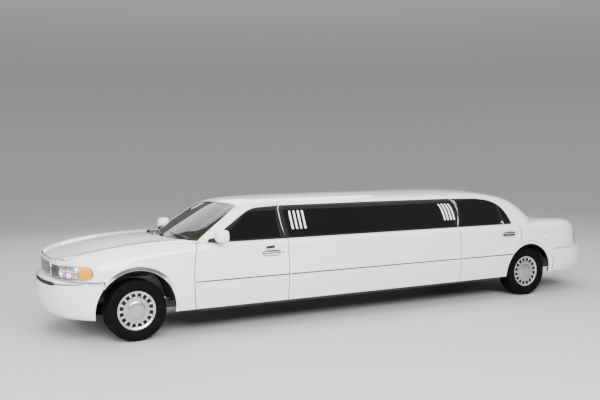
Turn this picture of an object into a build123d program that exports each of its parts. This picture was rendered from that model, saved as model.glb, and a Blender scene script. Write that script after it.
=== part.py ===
"""Stretch limousine: six-light saloon body on a perimeter frame, lengthened
between the doors.  Millimetres, +X forward, +Y left, +Z up.  It is drawn about
a point on the ground on the centre line, 3145 behind the front axle, and
written with the middle of the overall length at x = 0."""
from build123d import *
import math
import os

os.makedirs("parts", exist_ok=True)

# ---- driving dimensions ---------------------------------------------------
LENGTH = 7870.0                             # nose at +4000, tail at -3870
WHEELBASE = 5530.0
FRONT_AXLE = 3145.0
REAR_AXLE = FRONT_AXLE - WHEELBASE          # -2385
HUB_Z = 333.0
TYRE_R = 333.0
TYRE_W = 222.0
RIM_R = 221.0                               # over the flanges
TRACK_F = 805.0                             # half track
TRACK_R = 826.0
KINGPIN_Y = 690.0

MAX_Y = 993.0                               # half width at the moulding
BELT_Z = 1003.0
ROCKER_Z = 292.0
ROOF_Z = 1473.0
INNER_Y = 872.0                             # inner plane of doors and side panels

SEAM_B = 1360.0                             # front door to stretch panel
SEAM_C = -1180.0                            # stretch panel to rear door
GAP = 8.0                                   # shut line

ARCH_F = (3155.0, 345.0, 428.0)             # x, z, radius of the wheel openings
ARCH_R = (-2387.0, 333.0, 390.0)

SIDE = Plane.XZ                             # local x = X, local y = Z, normal -Y
FRONT = Plane.YZ                            # local x = Y, local y = Z, normal +X


def taper(x):
    """Plan taper of the body side towards nose and tail (superellipse)."""
    if x > 3200:
        return max(0.0, 1 - ((x - 3200) / 722) ** 3.0) ** (1 / 3.0)
    if x < -2850:
        return max(0.0, 1 - ((-2850 - x) / 862) ** 2.5) ** (1 / 2.5)
    return 1.0


# body stations:  x, shoulder height, shoulder edge height, centre height
BODY_STATIONS = [
    (3912, 846, 862, 872), (3860, 852, 872, 884), (3760, 864, 892, 912), (3600, 884, 914, 942),
    (3400, 912, 944, 980), (3200, 940, 970, 1014), (2900, 972, 996, 1038), (2560, 998, 1014, 1048),
    (2460, 1003, 1016, 1046), (2000, 1003, 1008, 1012), (-2300, 1003, 1008, 1012), (-2700, 1001, 1012, 1026),
    (-2900, 992, 1008, 1026), (-3150, 970, 993, 1015), (-3330, 943, 973, 997), (-3460, 917, 951, 977),
    (-3560, 894, 929, 955), (-3640, 870, 905, 931), (-3690, 850, 880, 902),
]


def body_section(x, zb, ze, zc, inset):
    """Half-and-half cross section of the lower body at station x."""
    k = taper(x)
    i = inset
    bottom = ROCKER_Z + (0 if i == 0 else -60)
    half = [(950 * k - i, bottom), (972 * k - i, 400), (993 * k - i, 610), (976 * k - i, 820 - i * 0.3),
            (932 * k - i, zb - i * 0.6), (893 * k - i, ze - i)]
    half = [(max(y, 20 + 8 * n), z) for n, (y, z) in enumerate(half)]
    top = [(0.52 * half[-1][0], ze - i + 0.72 * (zc - ze)), (0, zc - i)]
    pts = half + top + [(-y, z) for y, z in reversed(half + top[:1])]
    with BuildSketch(FRONT.offset(x)) as sk:
        with BuildLine():
            Polyline(*pts, close=True)
        make_face()
    return sk.sketch


# greenhouse outlines by height: z, centre front, mid front x y, corner front x y,
# side start, side y, side end, corner rear x y, mid rear x y, centre rear
ROOF_LEVELS = [
    (1003, 2600, 2545, 420, 2365, 800, 2190, 905, -2330, -2640, 770, -2830, 420, -2890),
    (1137, 2370, 2322, 400, 2178, 765, 2020, 840, -2240, -2520, 715, -2690, 400, -2745),
    (1260, 2140, 2100, 380, 2005, 715, 1860, 778, -2130, -2378, 662, -2535, 380, -2580),
    (1355, 1965, 1930, 360, 1870, 665, 1730, 730, -1965, -2185, 610, -2330, 360, -2372),
    (1400, 1868, 1840, 330, 1780, 600, 1620, 688, -1790, -1990, 560, -2150, 330, -2195),
    (1436, 1745, 1710, 300, 1600, 500, 1400, 575, -1560, -1760, 460, -1930, 280, -1990),
    (1460, 1500, 1450, 220, 1350, 310, 1200, 350, -1300, -1480, 290, -1650, 180, -1720),
    (1473, 1100, 1050, 80, 1000, 110, 900, 120, -950, -1080, 100, -1200, 60, -1250),
]


def roof_section(row, inset):
    """Plan outline of the greenhouse at one height."""
    z, xf0, xf1, yf1, xfc, yfc, xs1, ys, xs2, xrc, yrc, xr1, yr1, xr0 = row
    i = inset
    j = min(i * 1.3, 0.6 * yf1)
    k = min(i * 1.3, 0.6 * yr1)
    left = [(xf1 - 1.6 * i, yf1 - 0.2 * j), (xfc - 1.5 * i, max(yfc - 0.8 * i, 0.5 * yfc)), (xs1 - i, max(ys - i, 0.5 * ys)),
            (xs2 + i, max(ys - i, 0.5 * ys)), (xrc + 1.4 * i, max(yrc - 0.8 * i, 0.5 * yrc)), (xr1 + 1.6 * i, yr1 - 0.2 * k)]
    pts = [(xf0 - 1.7 * i, 0)] + left + [(xr0 + 1.7 * i, 0)] + [(x, -y) for x, y in reversed(left)]
    with BuildSketch(Plane.XY.offset(z - (0 if z < 1300 else i * min(1.0, (z - 1300) / 130.0)))) as sk:
        with BuildLine():
            Polyline(*pts, close=True)
        make_face()
    return sk.sketch


def side_prism(pts, y0, y1):
    """Left-hand prism over a side-view outline, from y0 to y1."""
    with BuildPart(mode=Mode.PRIVATE) as p:
        with BuildSketch(SIDE.offset(-y0)):
            with BuildLine():
                Polyline(*pts, close=True)
            make_face()
        extrude(amount=-(y1 - y0))
    return p.part


def plan_prism(pts, z0, z1):
    with BuildPart(mode=Mode.PRIVATE) as p:
        with BuildSketch(Plane.XY.offset(z0)):
            with BuildLine():
                Polyline(*pts, close=True)
            make_face()
        extrude(amount=z1 - z0)
    return p.part


def front_prism(pts, x0, x1):
    with BuildPart(mode=Mode.PRIVATE) as p:
        with BuildSketch(FRONT.offset(x0)):
            with BuildLine():
                Polyline(*pts, close=True)
            make_face()
        extrude(amount=x1 - x0)
    return p.part


def block(x0, x1, y0, y1, z0, z1):
    return Pos((x0 + x1) / 2, (y0 + y1) / 2, (z0 + z1) / 2) * Box(x1 - x0, y1 - y0, z1 - z0, mode=Mode.PRIVATE)


def y_cylinder(x, z, r, y0, y1):
    return Pos(x, (y0 + y1) / 2, z) * Rot(90, 0, 0) * Cylinder(r, y1 - y0, mode=Mode.PRIVATE)


CENTRE_X = 68.065          # middle of the overall length in the drawing's own x


def save(part, name):
    """Write a piece with the middle of the overall length at x = 0."""
    moved = [s.moved(Location((-CENTRE_X, 0, 0))) for s in part.solids()]
    part = Compound(children=moved)
    part.label = name
    export_step(part, "parts/%s.step" % name)


def both(left):
    """The left piece and its mirror image, as one compound of two solids."""
    return Compound(children=[s for s in left.solids()] + [s for s in mirror(left, about=Plane.XZ).solids()])


# ---- master shapes of the skin --------------------------------------------
with BuildPart() as body_skin:
    for st in BODY_STATIONS:
        add(body_section(*st, 0))
    loft(ruled=True)

with BuildPart() as body_inside:
    for st in BODY_STATIONS:
        add(body_section(*st, 45))
    loft(ruled=True)

with BuildPart() as roof_skin:
    for row in ROOF_LEVELS:
        add(roof_section(row, 0))
    loft(ruled=True)

with BuildPart() as roof_inside:
    for row in ROOF_LEVELS:
        add(roof_section(row, 42))
    loft(ruled=True)

with BuildPart() as glass_outside:
    for row in ROOF_LEVELS:
        add(roof_section(row, 7))
    loft(ruled=True)

with BuildPart() as glass_inside:
    for row in ROOF_LEVELS:
        add(roof_section(row, 13))
    loft(ruled=True)

# ---- side-view outlines (x, z) --------------------------------------------
BOTTOM = ROCKER_Z
FRONT_EDGE = [(2490, BOTTOM), (2512, 460), (2520, 610), (2504, 850), (2462, BELT_Z)]
DOOR_F_LOW = [(SEAM_B + GAP / 2, BOTTOM)] + FRONT_EDGE + [(SEAM_B + GAP / 2, BELT_Z)]
DOOR_F_TOP = [(SEAM_B + GAP / 2, BELT_Z), (2340, BELT_Z), (2132, 1137), (1938, 1260), (1800, 1343), (1690, 1392),
              (SEAM_B + GAP / 2, 1394)]
WINDOW_F = [(SEAM_B + 40, BELT_Z + 12), (2262, BELT_Z + 12), (2085, 1137), (1895, 1258), (1765, 1332), (1660, 1366),
            (SEAM_B + 40, 1370)]
ARC_N = 9
REAR_ARC = [(ARCH_R[0] + ARCH_R[2] * math.cos(a), ARCH_R[1] + ARCH_R[2] * math.sin(a))
            for a in [math.radians(-6.0 + 52.4 * n / ARC_N) for n in range(ARC_N + 1)]]
REAR_EDGE = REAR_ARC + [(-2190, 740), (-2254, 830), (-2236, 920), (-2185, BELT_Z)]
DOOR_R_LOW = [(SEAM_C - GAP / 2, BELT_Z), (SEAM_C - GAP / 2, BOTTOM)] + REAR_EDGE
DOOR_R_TOP = [(SEAM_C - GAP / 2, 1394), (SEAM_C - GAP / 2, BELT_Z), (-2180, BELT_Z), (-2118, 1195), (-2010, 1302),
              (-1830, 1372), (-1600, 1394)]
WINDOW_R = [(SEAM_C - 40, 1370), (SEAM_C - 40, BELT_Z + 12), (-2112, BELT_Z + 12), (-2062, 1183), (-1966, 1276),
            (-1800, 1338), (-1590, 1366)]
WINDOW_M = [(SEAM_B - 40, 1370), (SEAM_B - 40, BELT_Z + 12), (SEAM_C + 40, BELT_Z + 12), (SEAM_C + 40, 1370)]


def grow(pts, g):
    """Outline moved outward by g, for the opening around a moving panel."""
    with BuildSketch(mode=Mode.PRIVATE) as sk:
        with BuildLine():
            Polyline(*pts, close=True)
        make_face()
        offset(amount=g, kind=Kind.INTERSECTION)
    return sk.sketch


def grown_prism(pts, g, y0, y1):
    with BuildPart(mode=Mode.PRIVATE) as p:
        with BuildSketch(SIDE.offset(-y0)):
            add(grow(pts, g))
        extrude(amount=-(y1 - y0))
    return p.part


# ---- doors ------------------------------------------------------------------
DOORS = {
    "front_door": (DOOR_F_LOW, DOOR_F_TOP, WINDOW_F),
    "rear_door": (DOOR_R_LOW, DOOR_R_TOP, WINDOW_R),
}
for stem, (low, top, window) in DOORS.items():
    with BuildPart() as slab:
        add(side_prism(low, INNER_Y, 1100))
        add(body_skin.part, mode=Mode.INTERSECT)
    with BuildPart() as frame_band:
        add(side_prism(top, 300, 1100))
        add(roof_skin.part, mode=Mode.INTERSECT)
        add(roof_inside.part, mode=Mode.SUBTRACT)
        add(side_prism(window, 300, 1100), mode=Mode.SUBTRACT)
        if stem == "rear_door":                 # thin at the rear, so that it swings clear of the pillar
            with BuildPart(mode=Mode.PRIVATE) as thin:
                add(block(-2300, -1560, 300, 1100, BELT_Z + 4, 1500))
                add(glass_inside.part, mode=Mode.INTERSECT)
            add(thin.part, mode=Mode.SUBTRACT)
        add(block(-2400, 2400, 200, 640, 1308, 1500), mode=Mode.SUBTRACT)
    with BuildPart() as door:
        add(slab.part)
        add(frame_band.part)
    with BuildPart() as pane:
        add(side_prism(window, 300, 1100))
        add(glass_outside.part, mode=Mode.INTERSECT)
        add(glass_inside.part, mode=Mode.SUBTRACT)
    save(door.part, stem + "_left")
    save(pane.part, stem + "_glass_left")
    save(mirror(door.part, about=Plane.XZ), stem + "_right")
    save(mirror(pane.part, about=Plane.XZ), stem + "_glass_right")

# ---- stretch side panels, with their long fixed window ----------------------
with BuildPart() as stretch:
    add(block(SEAM_C + GAP / 2, SEAM_B - GAP / 2, INNER_Y, 1100, BOTTOM, BELT_Z))
    add(body_skin.part, mode=Mode.INTERSECT)
save(both(stretch.part), "side_panels")

# ---- roof with pillars --------------------------------------------------------
SHIELD = [(-738, 1018), (738, 1018), (700, 1137), (655, 1260), (606, 1352), (540, 1392), (300, 1408), (-300, 1408),
          (-540, 1392), (-606, 1352), (-655, 1260), (-700, 1137)]
BACKLIGHT = [(-700, 1030), (700, 1030), (650, 1137), (598, 1260), (548, 1345), (480, 1378), (-480, 1378),
             (-548, 1345), (-598, 1260), (-650, 1137)]
with BuildPart() as roof:
    add(roof_skin.part)
    add(roof_inside.part, mode=Mode.SUBTRACT)
    add(front_prism(SHIELD, 1500, 2800), mode=Mode.SUBTRACT)
    add(front_prism(BACKLIGHT, -3000, -1900), mode=Mode.SUBTRACT)
    for low, top, window in DOORS.values():
        hole = grown_prism(top, GAP, 632, 1100)
        add(hole, mode=Mode.SUBTRACT)
        add(mirror(hole, about=Plane.XZ), mode=Mode.SUBTRACT)
    hole = side_prism(WINDOW_M, 300, 1100)
    add(hole, mode=Mode.SUBTRACT)
    add(mirror(hole, about=Plane.XZ), mode=Mode.SUBTRACT)
save(roof.part, "roof")

with BuildPart() as fixed_glass:
    add(side_prism(WINDOW_M, 300, 1100))
    add(glass_outside.part, mode=Mode.INTERSECT)
    add(glass_inside.part, mode=Mode.SUBTRACT)
save(both(fixed_glass.part), "side_glass")

with BuildPart() as windshield:
    add(front_prism(SHIELD, 1500, 2800))
    add(glass_outside.part, mode=Mode.INTERSECT)
    add(glass_inside.part, mode=Mode.SUBTRACT)
save(windshield.part, "windshield")

with BuildPart() as rear_window:
    add(front_prism(BACKLIGHT, -3000, -1900))
    add(glass_outside.part, mode=Mode.INTERSECT)
    add(glass_inside.part, mode=Mode.SUBTRACT)
save(rear_window.part, "rear_window")

# ---- hood, fenders, cowl ------------------------------------------------------
HOOD_PLAN = [(3895, 0), (3886, 250), (3862, 470), (3800, 640), (3700, 712), (3500, 748), (3000, 785), (2510, 812),
             (2560, 640), (2640, 380), (2690, 0)]


def mirrored(pts):
    return pts + [(x, -y) for x, y in reversed(pts) if y > 0]


with BuildPart() as hood:
    add(plan_prism(mirrored(HOOD_PLAN), 700, 1100))
    add(body_skin.part, mode=Mode.INTERSECT)
    add(body_inside.part, mode=Mode.SUBTRACT)
    add(block(3400, 3900, -900, 900, 700, 830), mode=Mode.SUBTRACT)
save(hood.part, "hood")

LAMP = [(3604, 742), (3640, 700), (3700, 688), (3960, 684), (3960, 812), (3760, 838), (3660, 836), (3610, 800)]
FENDER = [(p[0] + GAP, p[1]) for p in FRONT_EDGE[:-1]] + [(2472, BELT_Z - 8), (2472, 1100), (3930, 1100), (3930, 680),
                                                       (3500, 680), (3500, 500), (2800, BOTTOM)]
HOOD_OPEN = [(3960, 0), (3960, 470), (3866, 478), (3806, 648), (3704, 721), (3500, 757), (3000, 794), (2480, 824), (2300, 824),
             (2300, 0)]
with BuildPart() as fender:
    add(side_prism(FENDER, 200, 1100))
    add(body_skin.part, mode=Mode.INTERSECT)
    add(body_inside.part, mode=Mode.SUBTRACT)
    add(plan_prism(HOOD_OPEN, 600, 1200), mode=Mode.SUBTRACT)
    add(side_prism(LAMP, 100, 1100), mode=Mode.SUBTRACT)
    add(y_cylinder(ARCH_F[0], ARCH_F[1], ARCH_F[2], 100, 1100), mode=Mode.SUBTRACT)
save(both(fender.part.solids().sort_by(SortBy.VOLUME)[-1]), "front_fenders")

LAMP_PLAN = [(3560, 800), (3700, 770), (3740, 640), (3800, 470), (3960, 470), (3960, 1000), (3560, 1000)]
with BuildPart() as headlamp:
    add(side_prism(LAMP, 470, 1100))
    add(body_skin.part, mode=Mode.INTERSECT)
    add(plan_prism(LAMP_PLAN, 600, 1000), mode=Mode.INTERSECT)
    add(plan_prism(mirrored(HOOD_PLAN), 600, 1100), mode=Mode.SUBTRACT)
save(both(headlamp.part), "headlamps")

COWL_PLAN = [(2676, 0), (2628, 380), (2548, 640), (2500, 802), (2464, 818), (2464, 862), (2390, 862), (2372, 790), (2548, 410), (2603, 0)]
with BuildPart() as cowl:
    add(plan_prism(mirrored(COWL_PLAN), 930, 1000))
save(cowl.part, "cowl")

# ---- bumpers: plan outlines lofted between heights ------------------------------


def bumper_outline(z, tip, start, half_width, power, cut, wall):
    """Half-ring outline of a bumper cover in plan: outside curve, then inside."""
    sign = 1 if tip > 0 else -1
    a = abs(tip - start)
    y_cut = half_width * (1 - (abs(cut - start) / a) ** power) ** (1 / power)
    outer, inner = [], []
    for n in range(9):
        y = y_cut * math.sin(math.pi / 2 * n / 8.0)
        u = (1 - (y / half_width) ** power) ** (1 / power)
        nx, ny = u ** (power - 1) / a, (y / half_width) ** (power - 1) / half_width
        m = math.hypot(nx, ny)
        outer.append((start + sign * a * u, y))
        inner.append((start + sign * (a * u - wall * nx / m), y - wall * ny / m))
    inner[0] = (start + sign * (a - wall), 0)
    inner[-1] = (cut, outer[-1][1] - wall)
    half = outer + inner[::-1]
    pts = half + [(x, -y) for x, y in reversed(half[1:-1])]
    with BuildSketch(Plane.XY.offset(z)) as sk:
        with BuildLine():
            Polyline(*pts, close=True)
        make_face()
    return sk.sketch


# z, tip, start of the curve, half width, power, rear cut
FRONT_BUMPER = [(262, 3925, 3200, 955, 2.35, 3590, 55), (330, 3968, 3200, 975, 2.35, 3590, 55),
                (470, 4000, 3200, 990, 2.35, 3575, 55), (590, 3996, 3200, 990, 2.35, 3540, 55),
                (668, 3968, 3200, 984, 2.4, 3512, 55)]
with BuildPart() as front_bumper:
    for row in FRONT_BUMPER:
        add(bumper_outline(*row))
    loft(ruled=True)
    add(y_cylinder(ARCH_F[0], ARCH_F[1], ARCH_F[2], -1200, 1200), mode=Mode.SUBTRACT)
    add(block(3796, 3838, -455, 455, 640, 770))
    add(block(3796, 3930, -455, 455, 640, 668))
save(front_bumper.part, "front_bumper")

REAR_BUMPER = [(292, -3760, -2850, 940, 2.4, -2850, 50), (360, -3825, -2850, 972, 2.45, -2850, 50),
               (470, -3870, -2850, 988, 2.5, -2850, 50), (590, -3862, -2850, 988, 2.5, -2850, 50),
               (600, -3860, -2850, 987, 2.5, -2850, 160), (628, -3838, -2850, 982, 2.5, -2850, 160)]
PLATE_X = -3860.0
with BuildPart() as rear_bumper:
    for row in REAR_BUMPER:
        add(bumper_outline(*row))
    loft(ruled=True)
    add(block(PLATE_X, PLATE_X + 80, -170, 170, 380, 560))
    with BuildSketch(Plane(origin=(PLATE_X, 0, 470), x_dir=(0, -1, 0), z_dir=(-1, 0, 0))):
        with GridLocations(178, 121, 2, 2):
            Circle(3.3)
    extrude(amount=-60, mode=Mode.SUBTRACT)
    add(block(PLATE_X - 110, PLATE_X, -172, 172, 378, 562), mode=Mode.SUBTRACT)
save(rear_bumper.part, "rear_bumper")

# ---- grille, on the hood's front edge ---------------------------------------------
with BuildPart() as grille:
    add(block(3846, 3894, -430, 430, 690, 822))
    for n in range(17):
        add(block(3894, 3904, -356.8 + n * 44.6 - 6, -356.8 + n * 44.6 + 6, 700, 814))
    for n in range(15):
        add(block(3878, 3912, -312 + n * 44.6 - 9, -312 + n * 44.6 + 9, 822, 828))
save(grille.part, "grille")

# ---- quarter panels, tail lamps, trunk lid -------------------------------------------
LID_PLAN = [(-2935, 0), (-2915, 420), (-2862, 690), (-3350, 690), (-3450, 650), (-3530, 580), (-3590, 500), (-3625, 430),
            (-3640, 390), (-3900, 390), (-3900, 0)]
LID_OPEN = [(-2926, 0), (-2906, 420), (-2852, 699), (-3353, 699), (-3457, 658), (-3538, 587), (-3598, 507), (-3634, 436),
            (-3650, 399), (-3960, 399), (-3960, 0)]
LAMP_Z = (664, 846)
TAIL_PLAN = [(-3400, 700), (-3480, 620), (-3550, 540), (-3610, 450), (-3635, 402), (-3900, 402), (-3900, 1000), (-3400, 1000)]
TAIL_OPEN = [(-3396, 620), (-3470, 520), (-3530, 440), (-3570, 380), (-3960, 380), (-3960, 1100), (-3396, 1100)]
QUARTER = [(x - GAP * 1.3, z + 3) for x, z in REAR_EDGE[ARC_N:]] \
    + [(-2195, 1100), (-3850, 1100), (-3850, 636), (-2840, 636), (-2840, BOTTOM + 8), (-2387, BOTTOM + 8), (-2387, 560)]
with BuildPart() as quarter:
    add(side_prism(QUARTER, 100, 1100))
    add(body_skin.part, mode=Mode.INTERSECT)
    add(body_inside.part, mode=Mode.SUBTRACT)
    add(plan_prism(LID_OPEN, 560, 1200), mode=Mode.SUBTRACT)
    add(block(-2935, -2100, 0, 868, 960, 1100), mode=Mode.SUBTRACT)
    add(roof_skin.part, mode=Mode.SUBTRACT)
    add(y_cylinder(ARCH_R[0], ARCH_R[1], ARCH_R[2], 100, 1100), mode=Mode.SUBTRACT)
    add(plan_prism(TAIL_OPEN, LAMP_Z[0] - 4, LAMP_Z[1] + 4), mode=Mode.SUBTRACT)
save(both(quarter.part.solids().sort_by(SortBy.VOLUME)[-1]), "quarter_panels")

with BuildPart() as tail_lamp:
    add(plan_prism(TAIL_PLAN, *LAMP_Z))
    add(body_skin.part, mode=Mode.INTERSECT)
save(both(tail_lamp.part), "tail_lamps")

with BuildPart() as trunk_lid:
    add(plan_prism(mirrored(LID_PLAN), 640, 1100))
    add(body_skin.part, mode=Mode.INTERSECT)
    add(body_inside.part, mode=Mode.SUBTRACT)
    add(block(-3540, -2800, -900, 900, 560, 900), mode=Mode.SUBTRACT)
    add(block(-3900, -3400, 392, 900, 600, 856), mode=Mode.SUBTRACT)
    add(block(-3900, -3400, -900, -392, 600, 856), mode=Mode.SUBTRACT)
save(trunk_lid.part, "trunk_lid")

# ---- floor, frame and running gear -------------------------------------------------------
FLOOR = [(2600, 330), (2600, 355), (-1760, 355), (-1960, 560), (-2960, 560), (-3010, 470), (-3610, 470), (-3610, 445),
         (-2990, 445), (-2950, 535), (-1975, 535), (-1775, 330)]
with BuildPart() as floor_pan:
    with BuildSketch(SIDE.offset(-560)):
        with BuildLine():
            Polyline(*FLOOR, close=True)
        make_face()
    extrude(amount=1120)
    for s in (1, -1):
        add(block(-1760, 2480, min(s * 560, s * 864), max(s * 560, s * 864), 330, 355))
        add(block(SEAM_C + 12, SEAM_B - 12, min(s * 864, s * INNER_Y), max(s * 864, s * INNER_Y), 330, 355))
        add(block(-3420, -3010, min(s * 560, s * 690), max(s * 560, s * 690), 445, 470))
save(floor_pan.part, "floor_pan")

with BuildPart() as sills:
    add(block(-1900, 2430, 790, 860, 250, 328))
save(both(sills.part), "sills")

with BuildPart() as frame_rail:
    with BuildSketch(SIDE.offset(-400)):
        with BuildLine():
            Polyline((3700, 440), (3700, 520), (2900, 500), (2650, 328), (-1790, 328), (-1990, 530), (-2850, 530),
                     (-2930, 443), (-3608, 443), (-3608, 373), (-2940, 373), (-2860, 463), (-2060, 463), (-1830, 248),
                     (2680, 248), (2930, 420), close=True)
        make_face()
    extrude(amount=-75)
    mirror(about=Plane.XZ)
    for x, z0, z1 in ((3640, 446, 500), (2450, 252, 322), (1200, 252, 322), (0, 252, 322), (-1200, 252, 322),
                      (-2650, 470, 530), (-3500, 378, 438)):
        add(block(x - 40, x + 40, -410, 410, z0, z1))
save(frame_rail.part, "chassis_frame")

with BuildPart() as engine:
    add(block(2760, 3400, -250, 250, 340, 800))
    add(block(2560, 2760, -180, 180, 362, 640))
save(engine.part, "engine")

with BuildPart() as front_suspension:
    add(block(3085, 3205, -400, 400, 256, 330))
    for s in (1, -1):
        # arm height, root y, tip y
        for z, root, tip in ((258, 390, 650), (468, 480, 636)):
            with BuildSketch(Plane.XY.offset(z)):
                with BuildLine():
                    Polyline((FRONT_AXLE - 30, s * tip), (FRONT_AXLE - 150, s * (root + 30)), (FRONT_AXLE - 150, s * root),
                             (FRONT_AXLE + 150, s * root), (FRONT_AXLE + 150, s * (root + 30)), (FRONT_AXLE + 30, s * tip),
                             close=True)
                make_face()
            extrude(amount=28)
save(front_suspension.part, "front_suspension")

for side, s in (("left", 1), ("right", -1)):
    with BuildPart() as knuckle:
        add(block(3115, 3175, min(s * 672, s * 716), max(s * 672, s * 716), 250, 505))
        add(y_cylinder(FRONT_AXLE, HUB_Z, 62, min(s * 700, s * 722), max(s * 700, s * 722)))
        add(y_cylinder(FRONT_AXLE, HUB_Z, 26, min(s * 720, s * 836), max(s * 720, s * 836)))
    save(knuckle.part, "knuckle_" + side)

with BuildPart() as rear_axle:
    add(y_cylinder(REAR_AXLE, HUB_Z, 42, -738, 738))
    add(y_cylinder(REAR_AXLE, HUB_Z, 26, -858, 858))
    add(Pos(REAR_AXLE, 0, HUB_Z) * Sphere(128, mode=Mode.PRIVATE))
    for s in (1, -1):
        add(block(REAR_AXLE + 30, REAR_AXLE + 420, s * 437 - 25, s * 437 + 25, 308, 358))
        add(Pos(REAR_AXLE - 60, s * 330, 408) * Cylinder(44, 230, mode=Mode.PRIVATE))
save(rear_axle.part, "rear_axle")

with BuildPart() as drive_shaft:
    with BuildSketch(Plane.YZ.offset(REAR_AXLE + 135)):
        with Locations((0, 204)):
            Circle(34)
    extrude(amount=2552 - (REAR_AXLE + 135))
save(drive_shaft.part, "drive_shaft")

with BuildPart() as exhaust:
    for s in (1, -1):
        with BuildSketch(Plane.YZ.offset(-1650)):
            with Locations((s * 250, 206)):
                Circle(30)
        extrude(amount=4100)
        add(Pos(-1000, s * 250, 206) * Rot(0, 90, 0) * Cylinder(42, 700, mode=Mode.PRIVATE))
save(exhaust.part, "exhaust")

with BuildPart() as fuel_tank:
    add(block(-3450, -2960, -320, 320, 250, 371))
save(fuel_tank.part, "fuel_tank")

# ---- wheel housings -----------------------------------------------------------------------
with BuildPart() as housing:
    add(y_cylinder(ARCH_F[0], ARCH_F[1], ARCH_F[2] + 22, 560, 890))
    add(y_cylinder(ARCH_F[0], ARCH_F[1], ARCH_F[2] + 8, 500, 1000), mode=Mode.SUBTRACT)
    add(block(2500, 3800, 500, 1000, -200, 400), mode=Mode.SUBTRACT)
    add(body_inside.part, mode=Mode.INTERSECT)
    add(front_bumper.part, mode=Mode.SUBTRACT)
with BuildPart() as housing_rear:
    add(y_cylinder(ARCH_R[0], ARCH_R[1], ARCH_R[2] + 16, 600, 862))
    add(y_cylinder(ARCH_R[0], ARCH_R[1], ARCH_R[2] + 2, 616, 1000), mode=Mode.SUBTRACT)
    add(block(-3000, -1700, 500, 1000, -200, 400), mode=Mode.SUBTRACT)
    add(body_inside.part, mode=Mode.INTERSECT)
save(Compound(children=list(both(housing.part).solids()) + list(both(housing_rear.part).solids())), "wheel_housings")

with BuildPart() as front_bulkhead:
    add(block(2520, 2550, -860, 860, 357, 925))
save(front_bulkhead.part, "firewall")

with BuildPart() as front_support:
    add(block(3702, 3722, -640, 640, 420, 765))
save(front_support.part, "radiator_support")

with BuildPart() as rear_panel:
    add(block(-3640, -3615, -420, 420, 440, 592))
save(rear_panel.part, "rear_panel")

# ---- wheels and tyres -------------------------------------------------------------------------
CORNERS = {
    "front_left": (FRONT_AXLE, TRACK_F, 1), "front_right": (FRONT_AXLE, -TRACK_F, -1),
    "rear_left": (REAR_AXLE, TRACK_R, 1), "rear_right": (REAR_AXLE, -TRACK_R, -1),
}
for corner, (wx, wy, s) in CORNERS.items():
    # local x of the profile is the axle direction (outward), local y the radius
    prof = Plane(origin=(wx, wy, HUB_Z), x_dir=(0, s, 0), z_dir=(-s, 0, 0))
    axle = Axis((wx, wy, HUB_Z), (0, 1, 0))
    up = 1 if abs(prof.y_dir.Z - 1) < 1e-6 else -1
    w = TYRE_W / 2
    with BuildPart() as tyre:
        with BuildSketch(prof):
            with BuildLine():
                Polyline((-w + 14, up * 205), (-w + 6, up * 222), (-w, up * 262), (-w + 6, up * 305), (-w + 26, up * (TYRE_R - 3)),
                         (0, up * TYRE_R), (w - 26, up * (TYRE_R - 3)), (w - 6, up * 305), (w, up * 262), (w - 6, up * 222),
                         (w - 14, up * 205), close=True)
            make_face()
        revolve(axis=axle)
    save(tyre.part, "tyre_" + corner)
    with BuildPart() as wheel:
        with BuildSketch(prof):
            with BuildLine():
                Polyline((-92, up * 204.5), (-92, up * 196), (40, up * 186), (40, up * 120), (34, up * 60), (34, up * 27.5),
                         (56, up * 27.5), (60, up * 60), (74, up * 110), (82, up * 200), (92, up * 204.5), close=True)
            make_face()
        revolve(axis=axle)
        with BuildSketch(Plane(origin=(wx, wy + s * 20, HUB_Z), x_dir=(1, 0, 0), z_dir=(0, s, 0))):
            with PolarLocations(161, 16):
                Rectangle(26, 26)
        extrude(amount=80, mode=Mode.SUBTRACT)
        add(y_cylinder(wx, HUB_Z, 34, min(wy + s * 56, wy + s * 76), max(wy + s * 56, wy + s * 76)))
    save(wheel.part, "wheel_" + corner)

# ---- mirrors --------------------------------------------------------------------------------------
for side, s in (("left", 1), ("right", -1)):
    with BuildPart() as door_mirror:
        with BuildSketch(Plane(origin=(2195, s * 1030, 1090), x_dir=(0, 1, 0), z_dir=(1, 0, 0))):
            RectangleRounded(200, 130, 40)
        extrude(amount=80)
        add(block(2200, 2280, min(s * 907, s * 962), max(s * 907, s * 962), BELT_Z, 1060))
    save(door_mirror.part, "mirror_" + side)

# ---- cabin --------------------------------------------------------------------------------------------
with BuildPart() as dashboard:
    with BuildSketch(SIDE.offset(-840)):
        with BuildLine():
            Polyline((2518, 700), (2518, 915), (2330, 926), (2130, 912), (2090, 860), (2160, 700), close=True)
        make_face()
    extrude(amount=1680)
save(dashboard.part, "dashboard")

with BuildPart() as steering_wheel:
    column = Plane(origin=(1960, 400, 900), x_dir=(0, 1, 0), z_dir=(-0.94, 0, 0.34))
    with BuildSketch(column):
        Circle(190)
        Circle(162, mode=Mode.SUBTRACT)
    extrude(amount=24)
    with BuildSketch(column.offset(2)):
        Rectangle(330, 30)
        Circle(58)
    extrude(amount=20)
    with BuildSketch(column.offset(-118)):
        Circle(24)
    extrude(amount=124)
save(steering_wheel.part, "steering_wheel")


def seat(x, y, width, facing, base_z, back_h, depth=500):
    """Seat profile in side view: cushion and back as one L, facing +1 or -1 along X."""
    f = facing
    return side_prism([(x, base_z), (x + f * depth, base_z), (x + f * depth, base_z + 300), (x + f * 90, base_z + 250),
                       (x - f * 40, base_z + back_h), (x - f * 150, base_z + back_h), (x - f * 60, base_z + 260)],
                      y - width / 2, y + width / 2)


with BuildPart() as front_seats:
    add(seat(1560, 395, 560, 1, 357, 800))
    add(seat(1560, -395, 560, 1, 357, 800))
save(front_seats.part, "front_seats")

with BuildPart() as partition:
    add(block(1270, 1300, -868, 868, 357, 985))
save(partition.part, "partition")

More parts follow.
